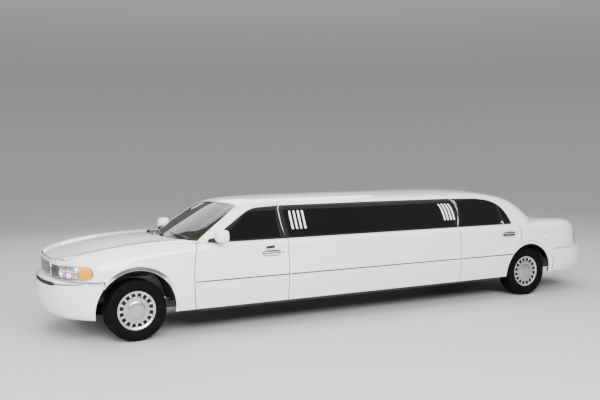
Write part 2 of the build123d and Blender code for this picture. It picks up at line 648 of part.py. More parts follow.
with BuildPart() as rear_seat:
    add(side_prism([(-1900, 562), (-1560, 357), (-1380, 357), (-1380, 660), (-1850, 620), (-1990, 1000), (-2110, 1000),
                    (-2010, 562)], -596, 596))
save(rear_seat.part, "rear_seat")

with BuildPart() as side_bench:
    with BuildSketch(FRONT.offset(-1150)):
        with BuildLine():
            Polyline((-860, 357), (-330, 357), (-330, 660), (-720, 640), (-780, 985), (-860, 985), close=True)
        make_face()
    extrude(amount=2250)
save(side_bench.part, "side_bench")

with BuildPart() as bar_cabinet:
    add(block(-700, 1150, 480, 860, 357, 900))
    add(block(-660, 1110, 470, 850, 780, 920), mode=Mode.SUBTRACT)
save(bar_cabinet.part, "bar_cabinet")

with BuildPart() as rear_shelf:
    add(block(-2860, -2120, -590, 590, 965, 990))
save(rear_shelf.part, "rear_shelf")

print("limousine written")
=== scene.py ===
"""Looks of the stretch limousine: painted skin, glass, trim, wheels, lamps and cabin."""
import bpy, bmesh, math
import numpy as np
from mathutils import Vector, Matrix
from mathutils.geometry import delaunay_2d_cdt


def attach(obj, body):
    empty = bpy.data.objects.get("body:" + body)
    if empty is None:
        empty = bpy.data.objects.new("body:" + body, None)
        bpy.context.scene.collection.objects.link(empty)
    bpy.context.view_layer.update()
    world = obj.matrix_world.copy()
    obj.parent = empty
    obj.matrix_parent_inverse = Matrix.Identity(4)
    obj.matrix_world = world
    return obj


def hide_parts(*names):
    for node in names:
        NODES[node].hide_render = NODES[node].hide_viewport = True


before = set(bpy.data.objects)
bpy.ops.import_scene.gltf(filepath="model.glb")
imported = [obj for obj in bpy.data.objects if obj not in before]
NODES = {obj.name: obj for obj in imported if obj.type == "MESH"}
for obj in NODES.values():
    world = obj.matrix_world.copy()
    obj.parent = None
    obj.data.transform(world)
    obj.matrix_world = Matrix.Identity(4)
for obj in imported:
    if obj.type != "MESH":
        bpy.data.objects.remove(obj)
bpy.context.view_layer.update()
SCENE = bpy.context.scene
SIDES = (("left", 1.0), ("right", -1.0))
SHIFT = -0.068065            # the tables below are drawn about a point this far ahead of the frame's origin

# ---------------------------------------------------------------- materials


def material(name, base, rough=0.5, metal=0.0, coat=0.0, coat_rough=0.03, spec=0.5, ior=1.5, trans=0.0, alpha=1.0,
             mottle=None, rough_var=None, bump=None, emit=None, second=None, pattern=None):
    """mottle=(scale, amount), rough_var=(scale, amount), bump=(kind, scale, strength), second=(colour, scale)."""
    m = bpy.data.materials.new(name)
    m.use_nodes = True
    nt = m.node_tree
    b = nt.nodes["Principled BSDF"]
    b.inputs["Base Color"].default_value = (*base, 1)
    b.inputs["Roughness"].default_value = rough
    b.inputs["Metallic"].default_value = metal
    b.inputs["Coat Weight"].default_value = coat
    b.inputs["Coat Roughness"].default_value = coat_rough
    b.inputs["Specular IOR Level"].default_value = spec
    b.inputs["IOR"].default_value = ior
    b.inputs["Transmission Weight"].default_value = trans
    b.inputs["Alpha"].default_value = alpha
    if emit:
        b.inputs["Emission Color"].default_value = (*emit[0], 1)
        b.inputs["Emission Strength"].default_value = emit[1]
    tc = nt.nodes.new("ShaderNodeTexCoord")

    def noise(scale, detail=3.0, stretch=None):
        n = nt.nodes.new("ShaderNodeTexNoise")
        n.inputs["Scale"].default_value = scale
        n.inputs["Detail"].default_value = detail
        if stretch:
            mp = nt.nodes.new("ShaderNodeMapping")
            mp.inputs["Scale"].default_value = stretch
            nt.links.new(tc.outputs["Object"], mp.inputs["Vector"])
            nt.links.new(mp.outputs["Vector"], n.inputs["Vector"])
        else:
            nt.links.new(tc.outputs["Object"], n.inputs["Vector"])
        return n

    if mottle or second:
        scale, amount = mottle if mottle else (second[1], 1.0)
        n = noise(scale, 4.0, pattern)
        mix = nt.nodes.new("ShaderNodeMix")
        mix.data_type = "RGBA"
        other = second[0] if second else tuple(c * (1 - amount) for c in base)
        mix.inputs["A"].default_value = (*base, 1)
        mix.inputs["B"].default_value = (*other, 1)
        ramp = nt.nodes.new("ShaderNodeMapRange")
        ramp.inputs["From Min"].default_value = 0.35
        ramp.inputs["From Max"].default_value = 0.65
        nt.links.new(n.outputs["Fac"], ramp.inputs["Value"])
        nt.links.new(ramp.outputs["Result"], mix.inputs["Factor"])
        nt.links.new(mix.outputs["Result"], b.inputs["Base Color"])
    if rough_var:
        n = noise(rough_var[0])
        ramp = nt.nodes.new("ShaderNodeMapRange")
        ramp.inputs["To Min"].default_value = max(0.0, rough - rough_var[1])
        ramp.inputs["To Max"].default_value = min(1.0, rough + rough_var[1])
        nt.links.new(n.outputs["Fac"], ramp.inputs["Value"])
        nt.links.new(ramp.outputs["Result"], b.inputs["Roughness"])
    if bump:
        kind, scale, strength = bump
        if kind == "voronoi":
            t = nt.nodes.new("ShaderNodeTexVoronoi")
            t.feature = "DISTANCE_TO_EDGE"
            t.inputs["Scale"].default_value = scale
            nt.links.new(tc.outputs["Object"], t.inputs["Vector"])
            out = t.outputs["Distance"]
        else:
            t = noise(scale, 6.0)
            out = t.outputs["Fac"]
        bp = nt.nodes.new("ShaderNodeBump")
        bp.inputs["Strength"].default_value = strength
        bp.inputs["Distance"].default_value = 0.002
        nt.links.new(out, bp.inputs["Height"])
        nt.links.new(bp.outputs["Normal"], b.inputs["Normal"])
    return m


WHITE = material("paint_white", (0.90, 0.90, 0.89), 0.30, coat=1.0, coat_rough=0.02, mottle=(1.3, 0.02), rough_var=(6, 0.04),
                 bump=("noise", 160, 0.012))
# darker copy of the white paint: painted shade on the turned-in edges and undersides of the hood and trunk lid
WHITE_PAINTED_SHADE = material("paint_white_painted_shade", (0.70, 0.705, 0.70), 0.5, coat=0.3, coat_rough=0.2, mottle=(3, 0.06), rough_var=(9, 0.1))
TINT = material("glass_dark", (0.0015, 0.002, 0.0022), 0.03, spec=0.26, alpha=0.95, mottle=(0.9, 0.4), rough_var=(2.0, 0.02))
GLASS = material("glass_green", (0.012, 0.015, 0.009), 0.02, spec=0.16, alpha=0.76, mottle=(1.2, 0.2), rough_var=(3.0, 0.008))
GLASS_SHADE = material("glass_shade_band", (0.05, 0.10, 0.09), 0.03, alpha=0.75, mottle=(2, 0.2), rough_var=(3.0, 0.01))
BLACK_TRIM = material("trim_black", (0.004, 0.004, 0.0045), 0.25, spec=0.35, coat=0.12, coat_rough=0.08, mottle=(7, 0.3), rough_var=(14, 0.08))
RUBBER = material("seal_rubber", (0.006, 0.006, 0.006), 0.62, spec=0.25, mottle=(18, 0.3), rough_var=(20, 0.1), bump=("noise", 240, 0.1))
CHROME = material("chrome", (0.86, 0.87, 0.89), 0.07, metal=1.0, mottle=(5, 0.06), rough_var=(12, 0.03))
CHROME_SOFT = material("chrome_soft", (0.70, 0.71, 0.73), 0.16, metal=1.0, mottle=(9, 0.1), rough_var=(18, 0.05))
LENS = material("lens_clear", (0.55, 0.58, 0.60), 0.03, spec=0.5, alpha=0.12, coat=0.6, mottle=(9, 0.04), rough_var=(12, 0.015))
REFLECTOR = material("reflector", (0.88, 0.89, 0.91), 0.16, metal=0.95, mottle=(14, 0.12), rough_var=(22, 0.06), bump=("noise", 90, 0.15))
AMBER = material("lens_amber", (0.78, 0.31, 0.0), 0.25, coat=0.1, coat_rough=0.06, spec=0.25, mottle=(30, 0.16), rough_var=(40, 0.08),
                 bump=("voronoi", 85, 0.5), emit=((1.0, 0.42, 0.0), 0.10))
RED = material("lens_red", (0.42, 0.008, 0.010), 0.18, coat=1.0, coat_rough=0.03, mottle=(20, 0.3), rough_var=(30, 0.06),
               bump=("voronoi", 70, 0.35), emit=((0.5, 0.01, 0.01), 0.06))
TYRE = material("tyre_rubber", (0.0025, 0.0025, 0.0027), 0.78, spec=0.10, mottle=(10, 0.35), rough_var=(14, 0.12), bump=("noise", 130, 0.35))
WHEEL = material("wheel_silver", (0.74, 0.75, 0.77), 0.24, metal=0.85, coat=0.3, coat_rough=0.08, mottle=(11, 0.08), rough_var=(20, 0.06))
WHEEL_DOME = material("wheel_brushed", (0.50, 0.51, 0.53), 0.26, metal=0.9, mottle=(30, 0.14), rough_var=(45, 0.1), bump=("noise", 210, 0.1))
# black used as painted shade in openings and gaps (grille back, nose slot, filler door gap, wheel cover slots), and for
# the valve stems' rubber
SHADE_AND_STEM_BLACK = material("painted_shade_and_stem_black", (0.006, 0.006, 0.006), 0.7, mottle=(6, 0.4), rough_var=(9, 0.1))
LINER = material("liner_black", (0.016, 0.016, 0.017), 0.8, mottle=(12, 0.35), rough_var=(15, 0.1), bump=("noise", 90, 0.5))
CHASSIS = material("chassis_black", (0.030, 0.030, 0.031), 0.5, coat=0.15, coat_rough=0.3, second=((0.055, 0.045, 0.038), 4), rough_var=(10, 0.15),
                   bump=("noise", 60, 0.3))
IRON = material("cast_iron", (0.16, 0.155, 0.15), 0.62, metal=0.6, second=((0.11, 0.075, 0.05), 7), rough_var=(12, 0.15), bump=("noise", 70, 0.5))
STEEL = material("steel_dull", (0.42, 0.41, 0.40), 0.4, metal=0.9, second=((0.25, 0.19, 0.15), 3), rough_var=(12, 0.12), bump=("noise", 90, 0.15))
ALLOY = material("cast_alloy", (0.30, 0.30, 0.31), 0.42, metal=0.85, second=((0.20, 0.20, 0.205), 8), rough_var=(14, 0.12), bump=("noise", 120, 0.3))
GREY_PLASTIC = material("plastic_grey", (0.10, 0.10, 0.105), 0.5, mottle=(9, 0.2), rough_var=(12, 0.1), bump=("voronoi", 420, 0.2))
PLASTIC = material("plastic_dark", (0.018, 0.018, 0.018), 0.55, mottle=(9, 0.2), rough_var=(12, 0.1), bump=("voronoi", 420, 0.25))
DASH = material("dash_grey", (0.105, 0.100, 0.098), 0.58, mottle=(5, 0.15), rough_var=(9, 0.1), bump=("voronoi", 360, 0.35))
LEATHER = material("leather_black", (0.030, 0.027, 0.026), 0.42, second=((0.045, 0.040, 0.038), 5), rough_var=(9, 0.1), bump=("voronoi", 260, 0.45))
LEATHER_GREY = material("leather_grey", (0.20, 0.19, 0.18), 0.46, second=((0.24, 0.225, 0.21), 4), rough_var=(9, 0.1), bump=("voronoi", 260, 0.45))
SEAM = material("stitch_grey", (0.16, 0.15, 0.14), 0.7, mottle=(60, 0.3), rough_var=(60, 0.1), bump=("noise", 300, 0.3))
HEADLINER = material("headliner", (0.15, 0.145, 0.135), 0.95, mottle=(9, 0.1), bump=("noise", 380, 0.5))
CARPET = material("carpet", (0.045, 0.043, 0.042), 0.98, second=((0.07, 0.066, 0.064), 160), bump=("noise", 420, 0.9))
WOOD = material("veneer", (0.16, 0.062, 0.025), 0.28, coat=0.8, coat_rough=0.05, second=((0.33, 0.16, 0.07), 7), rough_var=(12, 0.05),
                pattern=(0.6, 9.0, 9.0))
PLATE = material("plate_blank", (0.78, 0.79, 0.80), 0.35, metal=0.2, mottle=(14, 0.05), rough_var=(18, 0.06))
SCREEN = material("panel_dark_gloss", (0.012, 0.013, 0.016), 0.12, coat=0.6, mottle=(9, 0.2), rough_var=(12, 0.04))
FLOOR_MAT = material("studio_floor", (0.52, 0.515, 0.505), 0.6, mottle=(0.6, 0.03), rough_var=(1.5, 0.06))

# ---------------------------------------------------------------- mesh helpers


def new_object(name, verts, faces, mat, body="root", normals=None, replaces=(), smooth=True, sharp=None):
    me = bpy.data.meshes.new(name)
    me.from_pydata([(float(v[0]) + SHIFT, float(v[1]), float(v[2])) for v in verts], [], [tuple(int(i) for i in f) for f in faces])
    me.validate()
    if isinstance(mat, (list, tuple)):
        for m in mat:
            me.materials.append(m)
    else:
        me.materials.append(mat)
    if smooth:
        me.shade_smooth()
    if sharp is not None:
        me.set_sharp_from_angle(angle=math.radians(sharp))
    if normals is not None and len(me.vertices) == len(normals):
        me.normals_split_custom_set_from_vertices([tuple(map(float, n)) for n in normals])
    ob = bpy.data.objects.new(name, me)
    SCENE.collection.objects.link(ob)
    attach(ob, body)
    if replaces:
        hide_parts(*replaces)
    return ob


class Build:
    """Gathers quads and triangles of one piece, with material numbers."""

    def __init__(self):
        self.v, self.f, self.m, self.n = [], [], [], []

    def add(self, verts, faces, mi=0, normals=None):
        k = len(self.v)
        self.v.extend([tuple(map(float, p)) for p in verts])
        self.f.extend([tuple(int(i) + k for i in f) for f in faces])
        self.m.extend([mi] * len(faces))
        if normals is not None:
            self.n.extend([tuple(map(float, p)) for p in normals])

    def grid(self, P, mi=0, close_u=False, close_v=False, flip=False):
        """P is (nu, nv, 3)."""
        P = np.asarray(P, float)
        nu, nv = P.shape[:2]
        idx = np.arange(nu * nv).reshape(nu, nv)
        faces = []
        for i in range(nu if close_u else nu - 1):
            for j in range(nv if close_v else nv - 1):
                a, b = idx[i, j], idx[(i + 1) % nu, j]
                c, d = idx[(i + 1) % nu, (j + 1) % nv], idx[i, (j + 1) % nv]
                faces.append((a, d, c, b) if flip else (a, b, c, d))
        self.add(P.reshape(-1, 3), faces, mi)

    def box(self, x0, x1, y0, y1, z0, z1, mi=0, r=0.0):
        """Box with bevelled edges of r."""
        c = np.array([(x0 + x1) / 2, (y0 + y1) / 2, (z0 + z1) / 2])
        h = np.array([abs(x1 - x0) / 2, abs(y1 - y0) / 2, abs(z1 - z0) / 2])
        r = min(r, 0.45 * h.min())
        bm = bmesh.new()
        bmesh.ops.create_cube(bm, size=2.0)
        for v in bm.verts:
            v.co = Vector((c[0] + v.co.x * h[0], c[1] + v.co.y * h[1], c[2] + v.co.z * h[2]))
        if r > 0:
            bmesh.ops.bevel(bm, geom=list(bm.edges), offset=r, segments=2, affect="EDGES", profile=0.5)
        bm.verts.ensure_lookup_table()
        self.add([v.co for v in bm.verts], [[v.index for v in f.verts] for f in bm.faces], mi)
        bm.free()

    def tube(self, path, radius, mi=0, n=10, caps=True, closed=False):
        """Round bar along points."""
        P = np.asarray(path, float)
        if closed:
            T = np.roll(P, -1, 0) - np.roll(P, 1, 0)
        else:
            T = np.gradient(P, axis=0)
        T /= np.linalg.norm(T, axis=1)[:, None] + 1e-12
        up = np.array([0, 0, 1.0]) if abs(T[0][2]) < 0.9 else np.array([1.0, 0, 0])
        rings = []
        rad = np.broadcast_to(np.asarray(radius, float), (len(P),))
        for p, t, r in zip(P, T, rad):
            a = np.cross(t, up); a /= np.linalg.norm(a) + 1e-12
            b = np.cross(a, t)
            up = b
            rings.append([p + r * (math.cos(q) * a + math.sin(q) * b) for q in np.linspace(0, 2 * math.pi, n, endpoint=False)])
        k = len(self.v)
        self.grid(np.array(rings), mi, close_u=closed, close_v=True)
        if caps and not closed:
            self.f.append(tuple(k + i for i in range(n))); self.m.append(mi)
            e = k + (len(P) - 1) * n
            self.f.append(tuple(e + i for i in reversed(range(n)))); self.m.append(mi)

    def lathe(self, prof, origin, s=1.0, mi=0, seg=72, mod=None, flip=False):
        """prof: (axial, radius) points; the axis runs along +Y times s."""
        prof = np.asarray(prof, float)
        ang = np.linspace(0, 2 * math.pi, seg, endpoint=False)
        P = np.zeros((seg, len(prof), 3))
        for j, a in enumerate(ang):
            r = prof[:, 1].copy()
            if mod is not None:
                r = mod(j, r)
            P[j, :, 0] = origin[0] + r * math.cos(a)
            P[j, :, 1] = origin[1] + s * prof[:, 0]
            P[j, :, 2] = origin[2] + r * math.sin(a)
        self.grid(P, mi, close_u=True, flip=(s < 0) != flip)

    def done(self, name, mats, body="root", replaces=(), slot=None, sharp=38, mirror_y=False, weld=False):
        v, f = list(self.v), list(self.f)
        m = list(self.m)
        if mirror_y:
            k = len(v)
            v += [(x, -y, z) for x, y, z in v]
            f += [tuple(reversed([i + k for i in q])) for q in f]
            m += m
        ob = new_object(name, v, f, mats, body, replaces=replaces, sharp=None)
        me = ob.data
        if len(me.polygons) == len(m):
            me.polygons.foreach_set("material_index", m)
        bm = bmesh.new(); bm.from_mesh(me)
        if weld:
            bmesh.ops.remove_doubles(bm, verts=bm.verts, dist=1e-5)
        bmesh.ops.recalc_face_normals(bm, faces=bm.faces)
        bm.to_mesh(me); bm.free()
        me.shade_smooth()
        if sharp is not None:
            me.set_sharp_from_angle(angle=math.radians(sharp))
        return ob


def hermite(pts, n, t0=None, t1=None):
    """Smooth curve through pts (m, ..., dim) along axis 0; n samples a segment (int or list)."""
    P = np.asarray(pts, float)
    m = len(P)
    ns = [n] * (m - 1) if isinstance(n, int) else list(n)
    D = P[1:] - P[:-1]
    L = np.linalg.norm(D, axis=-1, keepdims=True) + 1e-9
    U = D / L
    T = np.zeros_like(P)
    for i in range(1, m - 1):
        w0, w1 = L[i], L[i - 1]
        t = (U[i - 1] * w0 + U[i] * w1) / (w0 + w1)
        T[i] = t / (np.linalg.norm(t, axis=-1, keepdims=True) + 1e-9)
    T[0] = (2 * U[0] - T[1]) if t0 is None else np.asarray(t0, float)
    T[-1] = (2 * U[-1] - T[-2]) if t1 is None else np.asarray(t1, float)
    T[0] /= np.linalg.norm(T[0], axis=-1, keepdims=True) + 1e-9
    T[-1] /= np.linalg.norm(T[-1], axis=-1, keepdims=True) + 1e-9
    out = []
    for i in range(m - 1):
        q = np.arange(ns[i]) / ns[i]
        if i == m - 2:
            q = np.append(q, 1.0)
        for s in q:
            h00, h10 = 2 * s ** 3 - 3 * s ** 2 + 1, s ** 3 - 2 * s ** 2 + s
            h01, h11 = -2 * s ** 3 + 3 * s ** 2, s ** 3 - s ** 2
            out.append(h00 * P[i] + h10 * L[i] * T[i] + h01 * P[i + 1] + h11 * L[i] * T[i + 1])
    return np.array(out)


class Surf:
    """A smooth surface held as a fine grid over (a, b)."""

    def __init__(self, A, B, P, flip=False):
        self.A, self.B, self.P = np.asarray(A), np.asarray(B), P
        da = np.gradient(P, self.A, axis=0)
        db = np.gradient(P, self.B, axis=1)
        N = np.cross(da, db)
        if flip:
            N = -N
        self.N = N / (np.linalg.norm(N, axis=-1, keepdims=True) + 1e-12)

    def _cell(self, ab):
        a = np.clip(ab[:, 0], self.A[0], self.A[-1]); b = np.clip(ab[:, 1], self.B[0], self.B[-1])
        i = np.clip(np.searchsorted(self.A, a) - 1, 0, len(self.A) - 2)
        j = np.clip(np.searchsorted(self.B, b) - 1, 0, len(self.B) - 2)
        u = (a - self.A[i]) / (self.A[i + 1] - self.A[i]); v = (b - self.B[j]) / (self.B[j + 1] - self.B[j])
        return i, j, u[:, None], v[:, None]

    def at(self, ab):
        ab = np.asarray(ab, float).reshape(-1, 2)
        i, j, u, v = self._cell(ab)
        mixp = lambda G: G[i, j] * (1 - u) * (1 - v) + G[i + 1, j] * u * (1 - v) + G[i, j + 1] * (1 - u) * v + G[i + 1, j + 1] * u * v
        p, n = mixp(self.P), mixp(self.N)
        return p, n / (np.linalg.norm(n, axis=1, keepdims=True) + 1e-12)

    def inv(self, q, axes, arange=None, brange=None):
        """(a, b) of the surface points whose two coordinates `axes` equal q."""
        q = np.asarray(q, float).reshape(-1, 2)
        ia = np.arange(len(self.A)) if arange is None else np.where((self.A >= arange[0] - 1e-9) & (self.A <= arange[1] + 1e-9))[0]
        jb = np.arange(len(self.B)) if brange is None else np.where((self.B >= brange[0] - 1e-9) & (self.B <= brange[1] + 1e-9))[0]
        G = self.P[np.ix_(ia, jb)][..., list(axes)].reshape(-1, 2)
        out = np.zeros_like(q)
        for k, p in enumerate(q):
            s = int(np.argmin(((G - p) ** 2).sum(1)))
            out[k] = (self.A[ia[s // len(jb)]], self.B[jb[s % len(jb)]])
        e = 0.002
        for _ in range(6):
            p0 = self.at(out)[0][:, list(axes)]
            pa = self.at(out + (e, 0))[0][:, list(axes)] - self.at(out - (e, 0))[0][:, list(axes)]
            pb = self.at(out + (0, e))[0][:, list(axes)] - self.at(out - (0, e))[0][:, list(axes)]
            pa /= 2 * e; pb /= 2 * e
            r = q - p0
            det = pa[:, 0] * pb[:, 1] - pa[:, 1] * pb[:, 0]
            ok = np.abs(det) > 0.02
            det = np.where(ok, det, 1.0)
            s = np.clip((r[:, 0] * pb[:, 1] - r[:, 1] * pb[:, 0]) / det, -0.02, 0.02) * ok
            t = np.clip((pa[:, 0] * r[:, 1] - pa[:, 1] * r[:, 0]) / det, -0.02, 0.02) * ok
            out[:, 0] = np.clip(out[:, 0] + s, self.A[0], self.A[-1])
            out[:, 1] = np.clip(out[:, 1] + t, self.B[0], self.B[-1])
        return out


def dense(loop, step):
    """Closed polygon with its edges cut to about step."""
    L = np.asarray(loop, float)
    out = []
    for i in range(len(L)):
        a, b = L[i], L[(i + 1) % len(L)]
        n = max(1, int(math.ceil(np.linalg.norm(b - a) / step)))
        for k in range(n):
            out.append(a + (b - a) * k / n)
    return np.array(out)


def inside(pts, loop):
    x, y = pts[:, 0], pts[:, 1]
    r = np.zeros(len(pts), bool)
    n = len(loop)
    for i in range(n):
        x0, y0 = loop[i]; x1, y1 = loop[(i + 1) % n]
        c = (y0 > y) != (y1 > y)
        if c.any():
            xi = x0 + (y - y0) * (x1 - x0) / (y1 - y0 + 1e-15)
            r ^= c & (x < xi)
    return r


def rounded(loop, r, n=4):
    """Closed polygon with its corners rounded by r."""
    L = np.asarray(loop, float)
    out = []
    m = len(L)
    for i in range(m):
        p, a, b = L[i], L[i - 1], L[(i + 1) % m]
        va, vb = a - p, b - p
        la, lb = np.linalg.norm(va), np.linalg.norm(vb)
        c = np.dot(va, vb) / (la * lb + 1e-12)
        if c < -0.985:
            out.append(p); continue
        t = min(r, 0.42 * la, 0.42 * lb)
        p0, p1 = p + va / la * t, p + vb / lb * t
        for k in range(n + 1):
            s = k / n
            out.append((1 - s) ** 2 * p0 + 2 * s * (1 - s) * p + s ** 2 * p1)
    return np.array(out)


def grown(loop, g):
    """Closed polygon moved outward by g."""
    L = np.asarray(loop, float)
    area = 0.5 * np.sum(L[:, 0] * np.roll(L[:, 1], -1) - np.roll(L[:, 0], -1) * L[:, 1])
    s = 1.0 if area > 0 else -1.0
    out = []
    for i in range(len(L)):
        a, p, b = L[i - 1], L[i], L[(i + 1) % len(L)]
        d0, d1 = (p - a), (b - p)
        d0 = d0 / (np.linalg.norm(d0) + 1e-12); d1 = d1 / (np.linalg.norm(d1) + 1e-12)
        n0, n1 = np.array([d0[1], -d0[0]]) * s, np.array([d1[1], -d1[0]]) * s
        n = n0 + n1
        n /= np.linalg.norm(n) + 1e-12
        out.append(p + n * g / max(0.5, float(np.dot(n, n0))))
    return np.array(out)


def panel(name, surf, ins, outs, mat, body="root", step=0.045, edge=None, r=0.003, depth=0.018, lift=0.0, both=False, weld=False,
          side=1.0, inner=False, to_y=None, lip=0.0, replaces=(), inner_gap_shade_mat=None):
    """A sheet-metal, glass or trim piece on a smooth surface, with rounded edges turned in.
    ins and outs are closed loops in (a, b); weld joins the mirrored half at the centre line. A second material, if
    given, colours the turned-in edges and the back darker: painted shade in the gaps between panels."""
    edge = edge or step * 0.5
    ins = [dense(l, edge) for l in ins]
    outs = [dense(l, edge) for l in outs]
    loops = ins + outs
    allp = np.vstack(loops)
    lo, hi = np.vstack(ins).min(0), np.vstack(ins).max(0)
    ga = np.arange(lo[0] + step / 2, hi[0], step)
    gb = np.arange(lo[1] + step / 2, hi[1], step)
    G = np.array([(a + (0.5 * step if j % 2 else 0), b) for j, b in enumerate(gb) for a in ga]).reshape(-1, 2)
    keep = np.zeros(len(G), bool)
    for l in ins:
        keep |= inside(G, l)
    for l in outs:
        keep &= ~inside(G, l)
    G = G[keep]
    if len(G):
        near = np.array([((allp - g) ** 2).sum(1).min() for g in G]) ** 0.5
        G = G[near > 0.5 * edge]
    pts, edges = [], []
    for l in loops:
        k = len(pts)
        pts.extend(map(tuple, l))
        edges.extend([(k + i, k + (i + 1) % len(l)) for i in range(len(l))])
    pts.extend(map(tuple, G))
    V, _, F, *_ = delaunay_2d_cdt([Vector(p) for p in pts], edges, [], 0, 1e-6)
    V = np.array([(v.x, v.y) for v in V])
    F = np.array([f for f in F if len(f) == 3])
    C = V[F].mean(1)
    ok = np.zeros(len(C), bool)
    for l in ins:
        ok |= inside(C, l)
    for l in outs:
        ok &= ~inside(C, l)
    T = V[F]
    area = np.abs((T[:, 1, 0] - T[:, 0, 0]) * (T[:, 2, 1] - T[:, 0, 1]) - (T[:, 2, 0] - T[:, 0, 0]) * (T[:, 1, 1] - T[:, 0, 1]))
    F = F[ok & (area > 1e-9)]
    used = np.unique(F)
    remap = -np.ones(len(V), int)
    remap[used] = np.arange(len(used))
    V, F = V[used], remap[F]
    P, N = surf.at(V)
    P = P + N * lift
    fn = np.cross(P[F[:, 1]] - P[F[:, 0]], P[F[:, 2]] - P[F[:, 0]])
    if (fn * N[F].mean(1)).sum() < 0:
        F = F[:, ::-1]
    # border
    cnt = {}
    for t in F:
        for i in range(3):
            a, b = int(t[i]), int(t[(i + 1) % 3])
            if (b, a) in cnt:
                del cnt[(b, a)]
            else:
                cnt[(a, b)] = 1
    border = list(cnt)
    if weld:
        border = [(a, b) for a, b in border if not (abs(P[a][1]) < 2e-4 and abs(P[b][1]) < 2e-4)]
        for i in range(len(P)):
            if abs(P[i][1]) < 2e-4:
                P[i][1] = 0.0; N[i][1] = 0.0
    Ld = {}
    for a, b in border:
        e = P[b] - P[a]
        o = np.cross(e, N[a] + N[b])
        o /= np.linalg.norm(o) + 1e-12
        for k in (a, b):
            Ld.setdefault(k, []).append(o)
    bv = sorted(Ld)
    Lat = {}
    for k in bv:
        s = sum(Ld[k])
        if weld and P[k][1] == 0.0:
            s[1] = 0.0
        m = s / (np.linalg.norm(s) + 1e-12)
        Lat[k] = (m, 1.0 / max(0.55, float(np.dot(m, Ld[k][0]))))
    verts = [p.copy() for p in P]
    norms = [n.copy() for n in N]
    mats = [0] * len(F)
    faces = [tuple(t) for t in F]
    ring = {}
    prof = [(-r, 0.0, 0), (-0.29 * r, 0.29 * r, 1), (0.0, r, 2)] if r > 0 else [(0.0, 0.0, 0), (0.0, 0.0, 2)]
    prof.append((0.0, depth, 2))
    if lip > 0:
        prof += [(0.0, depth, 3), (-lip, depth, 3)]
    for k in bv:
        m, sc = Lat[k]
        ids = []
        for q, (lat, dep, kind) in enumerate(prof):
            p = P[k] + m * lat * sc - N[k] * dep
            if to_y is not None and q >= len(prof) - 1:
                p = np.array([P[k][0], to_y, P[k][2]])
            n = (N[k], (N[k] + m) / 1.41421, m, -N[k])[kind]
            if q == 0:
                verts[k] = p
                ids.append(k)
            else:
                ids.append(len(verts)); verts.append(p); norms.append(n)
        ring[k] = ids
    # from the bend on, the turned-in faces take the second material: a darker one paints shade into the gaps
    for a, b in border:
        for q in range(len(prof) - 1):
            if q == 3 and lip > 0:
                continue
            faces.append((ring[a][q], ring[a][q + 1], ring[b][q + 1], ring[b][q])); mats.append(1 if inner_gap_shade_mat and q >= 2 else 0)
    if inner:
        k0 = len(verts)
        for i in range(len(P)):
            p = P[i] - N[i] * depth if to_y is None else np.array([P[i][0], to_y, P[i][2]])
            verts.append(p)
            norms.append(-N[i] if to_y is None else np.array([0, -1.0, 0]))
        for t in F:
            faces.append((t[0] + k0, t[2] + k0, t[1] + k0)); mats.append(1 if inner_gap_shade_mat else 0)
    verts, norms = np.array(verts), np.array(norms)
    if side < 0:
        verts = verts * (1, -1, 1); norms = norms * (1, -1, 1)
        faces = [f[::-1] for f in faces]
    if both or weld:
        k = len(verts)
        idx = np.arange(k) + k
        if weld:
            for i in range(k):
                if verts[i][1] == 0.0:
                    idx[i] = i
        verts = np.vstack([verts, verts * (1, -1, 1)]); norms = np.vstack([norms, norms * (1, -1, 1)])
        faces = faces + [tuple(int(idx[i]) for i in f[::-1]) for f in faces]
        mats = mats + mats
    used = sorted(set(i for f in faces for i in f))
    rm = {u: i for i, u in enumerate(used)}
    faces = [tuple(rm[i] for i in f) for f in faces]
    verts, norms = verts[used], norms[used]
    ml = [mat, inner_gap_shade_mat] if inner_gap_shade_mat else mat
    me = bpy.data.meshes.new(name)
    me.from_pydata([(float(v[0]) + SHIFT, float(v[1]), float(v[2])) for v in verts], [], faces)
    for m_ in (ml if isinstance(ml, list) else [ml]):
        me.materials.append(m_)
    me.shade_smooth()
    me.polygons.foreach_set("material_index", mats)
    me.normals_split_custom_set_from_vertices([tuple(map(float, n / (np.linalg.norm(n) + 1e-12))) for n in norms])
    ob = bpy.data.objects.new(name, me)
    SCENE.collection.objects.link(ob)
    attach(ob, body)
    if replaces:
        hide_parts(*replaces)
    return ob


